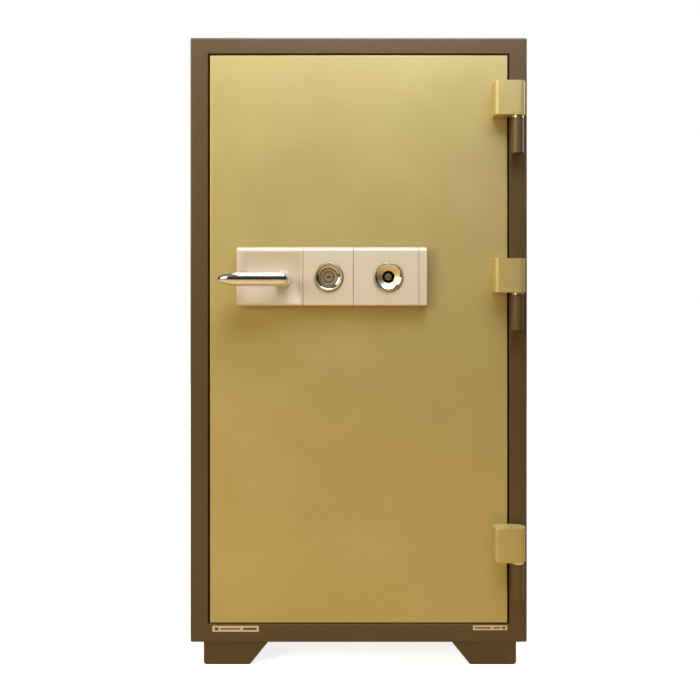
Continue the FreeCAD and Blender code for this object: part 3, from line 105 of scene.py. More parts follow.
# Seamless pale cream background paper, matt. Only the camera sees its glow, which keeps it white
# far off; what it throws up at the safe is warm.
background_paper, tree = new_material("background_paper")
rays = add(tree, "ShaderNodeLightPath")
paper = add(tree, "ShaderNodeBsdfPrincipled", {"Base Color": linear("#e4c28e"), "Roughness": 0.9})
seen_paper = add(
    tree,
    "ShaderNodeBsdfPrincipled",
    {
        "Base Color": linear("#f3f3f3"),
        "Roughness": 0.9,
        "Emission Color": linear("#ffffff"),
        "Emission Strength": 0.84,
    },
)
seen = {0: rays.outputs["Is Camera Ray"], 1: paper.outputs[0], 2: seen_paper.outputs[0]}
close(tree, add(tree, "ShaderNodeMixShader", links=seen))
floor_mesh = bpy.data.meshes.new("floor")
floor_mesh.from_pydata([(-15, -15, 0), (15, -15, 0), (15, 15, 0), (-15, 15, 0)], [], [(0, 1, 2, 3)])
floor_mesh.materials.append(background_paper)
floor = bpy.data.objects.new("floor", floor_mesh)
bpy.context.scene.collection.objects.link(floor)

# The room: bright above, grey at the sides and dim along the horizon, so that chrome has
# something to mirror. Behind the safe the camera sees plain white.
world = bpy.data.worlds.new("studio")
bpy.context.scene.world = world
world.use_nodes = True
tree = world.node_tree
tree.nodes.clear()
coordinates = add(tree, "ShaderNodeTexCoord")
direction = add(tree, "ShaderNodeSeparateXYZ", links={"Vector": coordinates.outputs["Generated"]})
room = add(tree, "ShaderNodeValToRGB", links={"Fac": direction.outputs["Z"]})
room_tones = [(0.0, "#33302b"), (0.16, "#3a3733"), (0.3, "#8d8d8c"), (0.62, "#b9babb"), (0.85, "#ffffff")]
for place, tone in room_tones[2:]:
    room.color_ramp.elements.new(place)
for element, (place, tone) in zip(room.color_ramp.elements, room_tones):
    element.position = place
    element.color = linear(tone)
behind = add(
    tree,
    "ShaderNodeMapRange",
    {"From Min": -0.1, "From Max": 0.5, "To Min": 0.0, "To Max": 1.0},
    {"Value": direction.outputs["Y"]},
)
surround = add(
    tree,
    "ShaderNodeMix",
    {"data_type": "RGBA", 7: linear("#f2f2f2")},
    {0: behind.outputs["Result"], 6: room.outputs["Color"]},
)
room_light = add(tree, "ShaderNodeBackground", {"Strength": 0.25}, {"Color": surround.outputs[2]})
seen_white = add(tree, "ShaderNodeBackground", {"Color": linear("#ffffff"), "Strength": 1.0})
rays = add(tree, "ShaderNodeLightPath")
mixed = add(
    tree,
    "ShaderNodeMixShader",
    links={0: rays.outputs["Is Camera Ray"], 1: room_light.outputs[0], 2: seen_white.outputs[0]},
)
add(tree, "ShaderNodeOutputWorld", links={"Surface": mixed.outputs[0]})


def soft_light(name, place, aim, width, height, power, colour):
    """A rectangular soft box, turned towards a point, that the camera doesn't see."""
    data = bpy.data.lights.new(name, "AREA")
    data.shape = "RECTANGLE"
    data.size, data.size_y = width, height
    data.energy = power
    data.color = linear(colour)[:3]
    lamp = bpy.data.objects.new(name, data)
    lamp.location = place
    lamp.rotation_euler = (Vector(aim) - Vector(place)).to_track_quat("-Z", "Y").to_euler()
    lamp.visible_camera = False
    bpy.context.scene.collection.objects.link(lamp)


soft_light("top_strip", (0.15, -0.85, 1.95), (0.1, -0.3, 0.9), 1.3, 0.6, 23, "#d6e4ff")
soft_light("overhead", (0.2, -0.45, 3.2), (0, -0.1, 0.6), 2.2, 1.4, 42, "#f4f7ff")
soft_light("front_box", (-2.4, -2.2, 1.7), (0, -0.2, 0.7), 1.2, 1.6, 48, "#fff6d2")
soft_light("side_box", (3.0, 1.4, 1.9), (0.3, 0.1, 0.7), 1.6, 1.6, 24, "#fff6ea")
soft_light("back_box", (-0.6, 3.6, 2.2), (0, 0.3, 0.7), 2.2, 1.4, 45, "#fff8ef")

# ------------------------------------------------------------------ cabinet shell
# Sheet steel bent round the sides, top and bottom and folded in at the front to make the border
# round the door, with a back sheet welded inside its rear rim. Sprayed a dark bronze brown.


def round_off(work, radius, steps, wanted):
    """Rounds the edges that wanted picks."""
    edges = [edge for edge in work.edges if wanted(edge)]
    bmesh.ops.bevel(work, geom=edges, offset=radius, segments=steps, profile=0.5, affect="EDGES")


def lies(edge, axis, place):
    """Whether both ends of an edge are at a place along an axis."""
    return all(abs(vert.co[axis] - place) < 1e-5 for vert in edge.verts)


def set_piece(name, work, materials, body, nodes, centre=(0, 0, 0), edge=0):
    """A finished piece that rides on its body and stands for its CAD nodes. edge is the width of
    the small rounding along its sharp edges."""
    bmesh.ops.recalc_face_normals(work, faces=work.faces)
    mesh = bpy.data.meshes.new(name)
    work.to_mesh(mesh)
    work.free()
    for material in materials:
        mesh.materials.append(material)
    mesh.polygons.foreach_set("use_smooth", [True] * len(mesh.polygons))
    mesh.set_sharp_from_angle(angle=math.radians(38))
    piece = bpy.data.objects.new(name, mesh)
    piece.location = centre
    bpy.context.scene.collection.objects.link(piece)
    if edge:
        rounding = piece.modifiers.new("edge", "BEVEL")
        rounding.width = edge
        rounding.segments = 3
        rounding.limit_method = "ANGLE"
        rounding.angle_limit = math.radians(38)
        rounding.use_clamp_overlap = True
    piece.modifiers.new("shading", "WEIGHTED_NORMAL").keep_sharp = not edge
    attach(piece, body)
    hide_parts(*nodes)
    return piece


def new_box(low, high):
    """A box between two corners, ready to be worked."""
    work = bmesh.new()
    bmesh.ops.create_cube(work, size=1)
    middle = (Vector(low) + Vector(high)) / 2
    size = Vector(high) - Vector(low)
    for vert in work.verts:
        vert.co = Vector(v * s for v, s in zip(vert.co, size)) + middle
    return work


# Dark bronze powder coat: the fine dimpled skin of a sprayed enamel, about 2 mm from dimple to
# dimple, half matt, a little lighter and darker in slow drifts.
brown_powder_coat, tree = new_material("brown_powder_coat")
coordinates = add(tree, "ShaderNodeTexCoord")
drift = add(
    tree,
    "ShaderNodeTexNoise",
    {"Scale": 3.0, "Detail": 3.0},
    {"Vector": coordinates.outputs["Object"]},
)
coat_colour = add(
    tree,
    "ShaderNodeMix",
    {"data_type": "RGBA", 6: linear("#554120"), 7: linear("#634f2c")},
    {0: drift.outputs[0]},
)
dimples = add(
    tree,
    "ShaderNodeTexNoise",
    {"Scale": 480.0, "Detail": 2.0, "Roughness": 0.45},
    {"Vector": coordinates.outputs["Object"]},
)
skin = add(
    tree,
    "ShaderNodeBump",
    {"Strength": 0.22, "Distance": 0.0004},
    {"Height": dimples.outputs[0]},
)
sheen = add(
    tree,
    "ShaderNodeMapRange",
    {"To Min": 0.38, "To Max": 0.52},
    {"Value": dimples.outputs[0]},
)
close(
    tree,
    add(
        tree,
        "ShaderNodeBsdfPrincipled",
        {"Metallic": 0.15, "IOR": 1.5, "Coat Weight": 0.15, "Coat Roughness": 0.3},
        {
            "Base Color": coat_colour.outputs[2],
            "Roughness": sheen.outputs["Result"],
            "Normal": skin.outputs["Normal"],
        },
    ),
)

SHEET = 0.003
BEND = 0.004
FOLD = 0.002
BACK_RIM = 0.014
BACK_SET_IN = 0.0015
jamb_low, jamb_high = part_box("door_jamb")
border_low = jamb_low + Vector((SHEET, 0, SHEET))
border_high = jamb_high - Vector((SHEET, 0, SHEET))
door_low, door_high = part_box("door_skin")
work = new_box(shell_low, shell_high)
round_off(
    work,
    BEND,
    5,
    lambda e: lies(e, 1, shell_low.y)
    or lies(e, 1, shell_high.y)
    or abs(e.verts[0].co.y - e.verts[1].co.y) > 0.1,
)
faces = sorted(work.faces, key=lambda f: f.calc_area(), reverse=True)
flat_front = next(f for f in faces if all(abs(v.co.y - shell_low.y) < 1e-6 for v in f.verts))
flat_back = next(f for f in faces if all(abs(v.co.y - shell_high.y) < 1e-6 for v in f.verts))
bmesh.ops.inset_region(work, faces=[flat_back], thickness=BACK_RIM)
bmesh.ops.inset_region(work, faces=[flat_back], thickness=BACK_SET_IN, depth=-BACK_SET_IN)
outer = list(flat_front.verts)
work.faces.remove(flat_front)


def corner_of(vert, low, high):
    """The corner of a rectangle on the same side as a vertex."""
    return (high.x if vert.co.x > 0 else low.x, high.z if vert.co.z > (low.z + high.z) / 2 else low.z)


edge_rings = [outer]
fold = [math.radians(a) for a in (0, 22.5, 45, 67.5, 90)]
steps_in = [(FOLD * (1 - math.cos(a)), FOLD * (1 - math.sin(a))) for a in fold]
for depth, spread in steps_in + [(SHEET, 0), (SHEET, 0.0015)]:
    ring = []
    for vert in outer:
        x, z = corner_of(vert, border_low, border_high)
        grown_x = spread * (1 if x > 0 else -1)
        grown_z = spread * (1 if z > 0.5 else -1)
        ring.append(work.verts.new((x + grown_x, front_y + depth, z + grown_z)))
    edge_rings.append(ring)
for first, second in zip(edge_rings, edge_rings[1:]):
    for i in range(4):
        work.faces.new((first[i], first[(i + 1) % 4], second[(i + 1) % 4], second[i]))
set_piece("cabinet_shell", work, [brown_powder_coat], "cabinet", ["outer_body"])

# ------------------------------------------------------------------ inside the cabinet
# The jamb lines the doorway in the cabinet's brown, a welded liner of sheet steel makes the
# room, and a light cast filling takes up the space between liner and shell. Two keeper bars
# behind the jamb take the bolts.


def coat_nodes(material, *names):
    """Gives these carried-over CAD nodes a finish."""
    for name in names:
        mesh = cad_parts[name].data
        mesh.materials.clear()
        mesh.materials.append(material)


# Ivory stove enamel, sprayed and baked: half gloss, softly uneven, with a fine dimpled skin.
ivory_enamel, tree = new_material("ivory_enamel")
coordinates = add(tree, "ShaderNodeTexCoord")
unevenness = add(
    tree,
    "ShaderNodeTexNoise",
    {"Scale": 5.0, "Detail": 4.0},
    {"Vector": coordinates.outputs["Object"]},
)
ivory_colour = add(
    tree,
    "ShaderNodeMix",
    {"data_type": "RGBA", 6: linear("#b9b3a0"), 7: linear("#c8c3b2")},
    {0: unevenness.outputs[0]},
)
ivory_dimples = add(
    tree,
    "ShaderNodeTexNoise",
    {"Scale": 420.0, "Detail": 2.0},
    {"Vector": coordinates.outputs["Object"]},
)
ivory_skin = add(
    tree,
    "ShaderNodeBump",
    {"Strength": 0.15, "Distance": 0.0003},
    {"Height": ivory_dimples.outputs[0]},
)
ivory_gloss = add(
    tree,
    "ShaderNodeMapRange",
    {"To Min": 0.36, "To Max": 0.5},
    {"Value": unevenness.outputs[0]},
)
close(
    tree,
    add(
        tree,
        "ShaderNodeBsdfPrincipled",
        {"IOR": 1.5},
        {
            "Base Color": ivory_colour.outputs[2],
            "Roughness": ivory_gloss.outputs["Result"],
            "Normal": ivory_skin.outputs["Normal"],
        },
    ),
)

# Bright zinc plate over rolled steel: pale bluish grey, with cloudy patches a few millimetres
# across and faint rolling lines.
zinc_plate, tree = new_material("zinc_plate")
coordinates = add(tree, "ShaderNodeTexCoord")
patches = add(
    tree,
    "ShaderNodeTexVoronoi",
    {"Scale": 120.0},
    {"Vector": coordinates.outputs["Object"]},
)
zinc_colour = add(
    tree,
    "ShaderNodeMix",
    {"data_type": "RGBA", 6: linear("#aeb0ae"), 7: linear("#c9cac6")},
    {0: patches.outputs["Distance"]},
)
stretched = add(
    tree,
    "ShaderNodeMapping",
    {"Scale": (30.0, 30.0, 900.0)},
    {"Vector": coordinates.outputs["Object"]},
)
rolling = add(
    tree,
    "ShaderNodeTexNoise",
    {"Scale": 1.0, "Detail": 2.0},
    {"Vector": stretched.outputs[0]},
)
rolling_relief = add(
    tree,
    "ShaderNodeBump",
    {"Strength": 0.1, "Distance": 0.0001},
    {"Height": rolling.outputs[0]},
)
zinc_gloss = add(
    tree,
    "ShaderNodeMapRange",
    {"To Min": 0.28, "To Max": 0.44},
    {"Value": patches.outputs["Distance"]},
)
close(
    tree,
    add(
        tree,
        "ShaderNodeBsdfPrincipled",
        {"Metallic": 1.0},
        {
            "Base Color": zinc_colour.outputs[2],
            "Roughness": zinc_gloss.outputs["Result"],
            "Normal": rolling_relief.outputs["Normal"],
        },
    ),
)

# Cast vermiculite plaster: matt, grey buff, with grains about 4 mm across and small pits.
vermiculite_fill, tree = new_material("vermiculite_fill")
coordinates = add(tree, "ShaderNodeTexCoord")
grains = add(
    tree,
    "ShaderNodeTexVoronoi",
    {"Scale": 250.0},
    {"Vector": coordinates.outputs["Object"]},
)
fill_colour = add(
    tree,
    "ShaderNodeMix",
    {"data_type": "RGBA", 6: linear("#a39c8c"), 7: linear("#c4bda9")},
    {0: grains.outputs["Distance"]},
)
pits = add(
    tree,
    "ShaderNodeBump",
    {"Strength": 0.5, "Distance": 0.001},
    {"Height": grains.outputs["Distance"]},
)
close(
    tree,
    add(
        tree,
        "ShaderNodeBsdfPrincipled",
        {"Roughness": 0.92},
        {"Base Color": fill_colour.outputs[2], "Normal": pits.outputs["Normal"]},
    ),
)

coat_nodes(brown_powder_coat, "door_jamb")
coat_nodes(ivory_enamel, "inner_liner")
coat_nodes(zinc_plate, "bolt_keeper", "dog_keeper")
coat_nodes(vermiculite_fill, "body_fire_fill")

# ------------------------------------------------------------------ shelves
# Three folded steel shelves hang on zinc-plated clips in slotted uprights, and can be moved.
coat_nodes(ivory_enamel, "shelf_uprights_left", "shelf_uprights_right")
coat_nodes(ivory_enamel, "shelf_lower", "shelf_middle", "shelf_upper")
coat_nodes(zinc_plate, "shelf_clips")

# ------------------------------------------------------------------ feet
# Four pressed steel shoes welded under the corners, each with a flange along its top, wide at
# the cabinet and narrow at the floor, sprayed with the cabinet.


def rounded_outline(corners, steps=5):
    """The points of an outline given as (x, y, radius) corners, anticlockwise."""
    points = []
    for i, (x, y, radius) in enumerate(corners):
        here = Vector((x, y))
        if not radius:
            points.append(here)
            continue
        to_last = (Vector(corners[i - 1][:2]) - here).normalized()
        to_next = (Vector(corners[(i + 1) % len(corners)][:2]) - here).normalized()
        half = to_last.angle(to_next) / 2
        centre = here + (to_last + to_next).normalized() * radius / math.sin(half)
        start = here + to_last * radius / math.tan(half) - centre
        end = here + to_next * radius / math.tan(half) - centre
        turn = (math.pi - 2 * half) * (1 if start.x * end.y - start.y * end.x > 0 else -1)
        for step in range(steps + 1):
            angle = turn * step / steps
            cos, sin = math.cos(angle), math.sin(angle)
            points.append(centre + Vector((start.x * cos - start.y * sin, start.x * sin + start.y * cos)))
    return points


def extrude_outline(work, points, place, low, high):
    """A solid over an outline between two heights. place turns (across, up, along) into a point."""
    rings = [[work.verts.new(place(p.x, p.y, end)) for p in points] for end in (low, high)]
    count = len(points)
    for i in range(count):
        after = (i + 1) % count
        work.faces.new((rings[0][i], rings[0][after], rings[1][after], rings[1][i]))
    caps = [work.faces.new(rings[0]), work.faces.new(list(reversed(rings[1])))]
    return caps


def on_y(across, up, along):
    return (across, along, up)


FLANGE_HEIGHT = 0.0075
FLANGE_STEP = 0.0012
SOLE_CORNER = 0.006
SOLE_LENGTH = 0.090
SHOE_EDGE = 0.0008
for end in ("front", "rear"):
    for side_name, side in (("left", -1), ("right", 1)):
        node = f"foot_{end}_{side_name}"
        foot_low, foot_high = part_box(node)
        outside = foot_high.x if side > 0 else foot_low.x
        top_inside = foot_low.x if side > 0 else foot_high.x
        sole_inside = outside - SOLE_LENGTH * side
        flange_z = foot_high.z - FLANGE_HEIGHT
        slope = (top_inside - sole_inside) / foot_high.z
        flange_inside = sole_inside + slope * flange_z
        work = bmesh.new()
        shoe = rounded_outline(
            [
                (outside, 0, SOLE_CORNER),
                (outside, foot_high.z - 0.001, 0),
                (top_inside - slope * 0.001, foot_high.z - 0.001, 0),
                (sole_inside, 0, SOLE_CORNER),
            ]
        )
        extrude_outline(work, shoe, on_y, foot_low.y + FLANGE_STEP, foot_high.y - FLANGE_STEP)
        flange = rounded_outline(
            [
                (outside, flange_z, 0),
                (outside, foot_high.z, 0),
                (top_inside, foot_high.z, 0),
                (flange_inside, flange_z, 0),
            ]
        )
        extrude_outline(work, flange, on_y, foot_low.y, foot_high.y)
        set_piece(
            f"shoe_{end}_{side_name}",
            work,
            [brown_powder_coat],
            "cabinet",
            [node],
            edge=SHOE_EDGE,
        )

# ------------------------------------------------------------------ door face
# One sheet of steel with its four edges rolled back round the slab, sprayed with a champagne
# enamel that holds a fine metal flake.

# Champagne metallic enamel: warm, half gloss, with soft cloudy drifts a hand's breadth across
# and a flake drawn 1 mm across, coarser than the real one, so that it shows at all.
champagne_enamel, tree = new_material("champagne_enamel")
coordinates = add(tree, "ShaderNodeTexCoord")
clouds = add(
    tree,
    "ShaderNodeTexNoise",
    {"Scale": 7.0, "Detail": 4.0, "Roughness": 0.6},
    {"Vector": coordinates.outputs["Object"]},
)
enamel_colour = add(
    tree,
    "ShaderNodeMix",
    {"data_type": "RGBA", 6: linear("#bfaa66"), 7: linear("#cfbb7a")},
    {0: clouds.outputs[0]},
)
flake = add(
    tree,
    "ShaderNodeTexNoise",
    {"Scale": 1000.0, "Detail": 1.0},
    {"Vector": coordinates.outputs["Object"]},
)
waves = add(
    tree,
    "ShaderNodeTexNoise",
    {"Scale": 260.0, "Detail": 2.0},
    {"Vector": coordinates.outputs["Object"]},
)
flake_relief = add(
    tree,
    "ShaderNodeBump",
    {"Strength": 0.05, "Distance": 0.0002},
    {"Height": flake.outputs[0]},
)
enamel_skin = add(
    tree,
    "ShaderNodeBump",
    {"Strength": 0.10, "Distance": 0.0004},
    {"Height": waves.outputs[0], "Normal": flake_relief.outputs["Normal"]},
)
enamel_gloss = add(
    tree,
    "ShaderNodeMapRange",
    {"To Min": 0.42, "To Max": 0.54},
    {"Value": clouds.outputs[0]},
)
close(
    tree,
    add(
        tree,
        "ShaderNodeBsdfPrincipled",
        {"Metallic": 0.4, "Coat Weight": 0.18, "Coat Roughness": 0.3},
        {
            "Base Color": enamel_colour.outputs[2],
            "Roughness": enamel_gloss.outputs["Result"],
            "Normal": enamel_skin.outputs["Normal"],
        },
    ),
)

ROLLED_EDGE = 0.0028
plug_low, plug_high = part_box("door_pan")
work = new_box(door_low, door_high)
round_off(work, ROLLED_EDGE, 5, lambda e: lies(e, 1, door_low.y))
round_off(work, 0.001, 2, lambda e: lies(e, 1, door_high.y))
rear = max(
    (f for f in work.faces if all(abs(v.co.y - door_high.y) < 1e-6 for v in f.verts)),
    key=lambda f: f.calc_area(),
)
outer = list(rear.verts)
work.faces.remove(rear)
plug_ring = []
inner_ring = []
for vert in outer:
    x, z = corner_of(vert, plug_low, plug_high)
    plug_ring.append(work.verts.new((x, door_high.y, z)))
    inner_ring.append(work.verts.new((x, door_high.y - SHEET, z)))
for first, second in ((outer, plug_ring), (plug_ring, inner_ring)):
    for i in range(4):
        work.faces.new((first[i], first[(i + 1) % 4], second[(i + 1) % 4], second[i]))
set_piece("door_face", work, [champagne_enamel], "door", ["door_skin"])

# ------------------------------------------------------------------ back of the door
# A stepped pan behind the face holds the filling and a hardened plate, the boltwork plate and
# its cover close it, and a strip that swells in a fire runs round the step.

# Intumescent strip: black, matt and faintly grained like a hard rubber.
intumescent_strip, tree = new_material("intumescent_strip")
coordinates = add(tree, "ShaderNodeTexCoord")
strip_grain = add(
    tree,
    "ShaderNodeTexNoise",
    {"Scale": 900.0, "Detail": 3.0},
    {"Vector": coordinates.outputs["Object"]},
)
strip_colour = add(
    tree,
    "ShaderNodeMix",
    {"data_type": "RGBA", 6: linear("#1b1a19"), 7: linear("#2d2b29")},
    {0: strip_grain.outputs[0]},
)
strip_relief = add(
    tree,
    "ShaderNodeBump",
    {"Strength": 0.3, "Distance": 0.0003},
    {"Height": strip_grain.outputs[0]},
)
close(
    tree,
    add(
        tree,
        "ShaderNodeBsdfPrincipled",
        {"Roughness": 0.8},
        {"Base Color": strip_colour.outputs[2], "Normal": strip_relief.outputs["Normal"]},
    ),
)
coat_nodes(ivory_enamel, "door_pan", "door_back_cover")
coat_nodes(vermiculite_fill, "door_fire_fill")
coat_nodes(intumescent_strip, "door_seal")
coat_nodes(zinc_plate, "boltwork_plate", "hard_plate", "cover_screws")

# ------------------------------------------------------------------ boltwork
# A zinc-plated carriage slides on studs behind the plate and carries three ground steel bolts.
# A crank on the lever's spindle drives it, two lock cases block it, and a fixed bar on the hinge
# side hooks behind the jamb.

# Ground mild steel, oiled: bright, with grinding lines round the bar about 0.6 mm apart.
ground_steel, tree = new_material("ground_steel")
coordinates = add(tree, "ShaderNodeTexCoord")
lengthways = add(
    tree,
    "ShaderNodeMapping",
    {"Scale": (1600.0, 40.0, 40.0)},
    {"Vector": coordinates.outputs["Object"]},
)
grinding = add(
    tree,
    "ShaderNodeTexNoise",
    {"Scale": 1.0, "Detail": 2.0},
    {"Vector": lengthways.outputs[0]},
)
steel_colour = add(
    tree,
    "ShaderNodeMix",
    {"data_type": "RGBA", 6: linear("#bdbbb6"), 7: linear("#d6d4cf")},
    {0: grinding.outputs[0]},
)
grinding_relief = add(
    tree,
    "ShaderNodeBump",
    {"Strength": 0.15, "Distance": 0.0001},
    {"Height": grinding.outputs[0]},
)
steel_gloss = add(
    tree,
    "ShaderNodeMapRange",
    {"To Min": 0.18, "To Max": 0.32},
    {"Value": grinding.outputs[0]},
)
close(
    tree,
    add(
        tree,
        "ShaderNodeBsdfPrincipled",
        {"Metallic": 1.0},
        {
            "Base Color": steel_colour.outputs[2],
            "Roughness": steel_gloss.outputs["Result"],
            "Normal": grinding_relief.outputs["Normal"],
        },
    ),
)
coat_nodes(zinc_plate, "bolt_carriage", "bolt_guide", "carriage_studs", "dog_bar", "spindle_crank")
coat_nodes(zinc_plate, "lock_case_a", "lock_case_b")
coat_nodes(ground_steel, "locking_bolt_bottom", "locking_bolt_middle", "locking_bolt_top")
coat_nodes(ground_steel, "lock_bolt_a", "lock_bolt_b")

# ------------------------------------------------------------------ hinges
# Each hinge has a steel knuckle welded to the door face over a barrel welded to the border, with
# a turned bronze washer between them. The knuckles are sprayed with the door, the barrels with
# the cabinet.

# Bearing bronze, turned: warm and bright, with fine tool rings 0.5 mm apart.
bearing_bronze, tree = new_material("bearing_bronze")
coordinates = add(tree, "ShaderNodeTexCoord")
tool_rings = add(
    tree,
    "ShaderNodeTexWave",
    {"wave_type": "BANDS", "bands_direction": "Z", "Scale": 320.0, "Distortion": 0.4},
    {"Vector": coordinates.outputs["Object"]},
)
ring_relief = add(
    tree,
    "ShaderNodeBump",
    {"Strength": 0.15, "Distance": 0.0001},
    {"Height": tool_rings.outputs[0]},
)
close(
    tree,
    add(
        tree,
        "ShaderNodeBsdfPrincipled",
        {"Base Color": linear("#f0dcbc"), "Metallic": 1.0, "Roughness": 0.3},
        {"Normal": ring_relief.outputs["Normal"]},
    ),
)


def upright(across, up, along):
    return (across, up, along)


def arc(centre_x, centre_y, radius, start, end, steps):
    """Points on a circle between two angles in degrees."""
    turns = [math.radians(start + (end - start) * i / steps) for i in range(steps + 1)]
    return [Vector((centre_x + radius * math.cos(a), centre_y + radius * math.sin(a))) for a in turns]


KNUCKLE_CORNER = 0.009
KNUCKLE_BOW = 0.0015
KNUCKLE_RIM = 0.0011
WELD_PAD = 0.014
BARREL_RIM = 0.0009
WASHER_BORE = 0.007
WASHER_THICKNESS = 0.005
WASHER_RIM = 0.0006
ring_work = bmesh.new()
for place in ("bottom", "middle", "top"):
    knuckle_low, knuckle_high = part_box(f"hinge_knuckle_{place}")
    pin_low, pin_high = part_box(f"hinge_pin_{place}")
    axis_x = (pin_low.x + pin_high.x) / 2
    axis_y = (pin_low.y + pin_high.y) / 2
    end_radius = knuckle_high.x - axis_x
    bow_y = knuckle_low.y + KNUCKLE_BOW
    corner = arc(knuckle_low.x + KNUCKLE_CORNER, bow_y + KNUCKLE_CORNER, KNUCKLE_CORNER, 180, 272, 8)
    front_points = []
    for i in range(1, 8):
        t = i / 8
        x = corner[-1].x + (axis_x - corner[-1].x) * t
        front_points.append(Vector((x, corner[-1].y + (knuckle_low.y - corner[-1].y) * (1 - (1 - t) ** 2))))
    round_end = arc(axis_x, axis_y, end_radius, -90, 90, 20)
    plan = (
        [Vector((knuckle_low.x, front_y))]
        + corner
        + front_points
        + round_end
        + [Vector((door_high.x, front_y - 0.001)), Vector((door_high.x - 0.0036, front_y))]
    )
    work = bmesh.new()
    caps = extrude_outline(work, plan, upright, knuckle_low.z, knuckle_high.z)
    rim = {edge for cap in caps for edge in cap.edges}
    bmesh.ops.bevel(work, geom=list(rim), offset=KNUCKLE_RIM, segments=3, profile=0.5, affect="EDGES")
    set_piece(f"knuckle_{place}", work, [champagne_enamel], "door", [f"hinge_knuckle_{place}"])

    barrel_low, barrel_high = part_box(f"hinge_barrel_{place}")
    barrel_radius = (barrel_high.x - barrel_low.x) / 2
    pad_angle = math.degrees(math.asin(WELD_PAD / 2 / barrel_radius))
    plan = arc(axis_x, axis_y, barrel_radius, 90 + pad_angle, 450 - pad_angle, 40)
    plan += [Vector((axis_x + WELD_PAD / 2, front_y)), Vector((axis_x - WELD_PAD / 2, front_y))]
    work = bmesh.new()
    caps = extrude_outline(work, plan, upright, barrel_low.z, barrel_high.z)
    rim = {edge for cap in caps for edge in cap.edges}
    bmesh.ops.bevel(work, geom=list(rim), offset=BARREL_RIM, segments=3, profile=0.5, affect="EDGES")
    set_piece(
        f"barrel_{place}",
        work,
        [brown_powder_coat],
        "cabinet",
        [f"hinge_barrel_{place}"],
    )

    washer = barrel_radius - 0.0008
    rows = [
        (WASHER_BORE, 0),
        (washer - WASHER_RIM, 0),
        (washer, WASHER_RIM),
        (washer, WASHER_THICKNESS - WASHER_RIM),
        (washer - WASHER_RIM, WASHER_THICKNESS),
        (WASHER_BORE, WASHER_THICKNESS),
    ]
    rings = []
    for radius, rise in rows:
        circle = arc(axis_x, axis_y, radius, 0, 360 - 360 / 64, 63)
        rings.append([ring_work.verts.new((p.x, p.y, barrel_high.z + rise)) for p in circle])
    for first, second in zip(rings, rings[1:] + rings[:1]):
        for i in range(64):
            ring_work.faces.new((first[i], first[(i + 1) % 64], second[(i + 1) % 64], second[i]))
coat_nodes(ground_steel, "hinge_pin_bottom", "hinge_pin_middle", "hinge_pin_top")
set_piece("thrust_washers", ring_work, [bearing_bronze], "cabinet", ["hinge_washers"])

# ------------------------------------------------------------------ lock panel
# Four die-cast covers side by side, each with a sloped top edge, screwed from behind to a
# backing sheet on the door and lacquered in a warm cream. The lever's cover is scooped out so
# that fingers reach behind the lever.

# Cream gloss lacquer over die casting: smooth, with a thin clear coat and a faint orange peel
# about 3 mm across.
cream_lacquer, tree = new_material("cream_lacquer")
coordinates = add(tree, "ShaderNodeTexCoord")
tint = add(
    tree,
    "ShaderNodeTexNoise",
    {"Scale": 12.0, "Detail": 3.0},
    {"Vector": coordinates.outputs["Object"]},
)
lacquer_colour = add(
    tree,
    "ShaderNodeMix",
    {"data_type": "RGBA", 6: linear("#dbccae"), 7: linear("#e2d3b8")},
    {0: tint.outputs[0]},
)
peel = add(
    tree,
    "ShaderNodeTexNoise",
    {"Scale": 330.0, "Detail": 1.0},
    {"Vector": coordinates.outputs["Object"]},
)
peel_relief = add(
    tree,
    "ShaderNodeBump",
    {"Strength": 0.06, "Distance": 0.0003},
    {"Height": peel.outputs[0]},
)
close(
    tree,
    add(
        tree,
        "ShaderNodeBsdfPrincipled",
        {"Roughness": 0.34, "IOR": 1.5, "Coat Weight": 0.5, "Coat Roughness": 0.12},
        {"Base Color": lacquer_colour.outputs[2], "Normal": peel_relief.outputs["Normal"]},
    ),
)

coat_nodes(zinc_plate, "panel_backing")
TOP_SLOPE_HEIGHT = 0.006
TOP_SLOPE_DEPTH = 0.009
FOOT_SLOPE = 0.002
SCOOP_DEPTH = 0.007
SCOOP_EDGE = 0.003
LEFT_BLEND = 0.020
LEFT_LIP = 0.0015
RIGHT_LIP = 0.0045
RIGHT_STEP = 0.0012
PANEL_EDGE = 0.0006


def smooth(t):
    """0 to 1 with no corner at either end."""
    t = min(1.0, max(0.0, t))
    return t * t * (3 - 2 * t)


def moulding(work, low, high, columns, rows, depth_at):
    """A cover as slices along x, with its front face pushed in by depth_at(x, z)."""
    face_low = low.z + FOOT_SLOPE
    face_high = high.z - TOP_SLOPE_HEIGHT
    rings = []
    for x in columns:
        ring = [(high.y, low.z), (low.y + FOOT_SLOPE, low.z)]
        for t in rows:
            z = face_low + (face_high - face_low) * t
            ring.append((low.y + depth_at(x, z), z))
        ring += [(low.y + TOP_SLOPE_DEPTH, high.z), (high.y, high.z)]
        rings.append([work.verts.new((x, y, z)) for y, z in ring])
    count = len(rings[0])
    for first, second in zip(rings, rings[1:]):
        for i in range(count):
            work.faces.new((first[i], first[(i + 1) % count], second[(i + 1) % count], second[i]))
    work.faces.new(rings[0])
    work.faces.new(list(reversed(rings[-1])))


low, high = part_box("handle_escutcheon")
scoop_low = low.z + FOOT_SLOPE + SCOOP_EDGE
scoop_high = high.z - TOP_SLOPE_HEIGHT - SCOOP_EDGE


def scoop(x, z):
    """How deep the hollow in the lever's cover is."""
    bowl = 1 - ((z - (scoop_low + scoop_high) / 2) / ((scoop_high - scoop_low) / 2)) ** 2
    left = smooth((x - low.x - LEFT_LIP) / LEFT_BLEND)
    right = smooth((high.x - RIGHT_LIP - x) / RIGHT_STEP)
    return SCOOP_DEPTH * max(0.0, bowl) * left * right


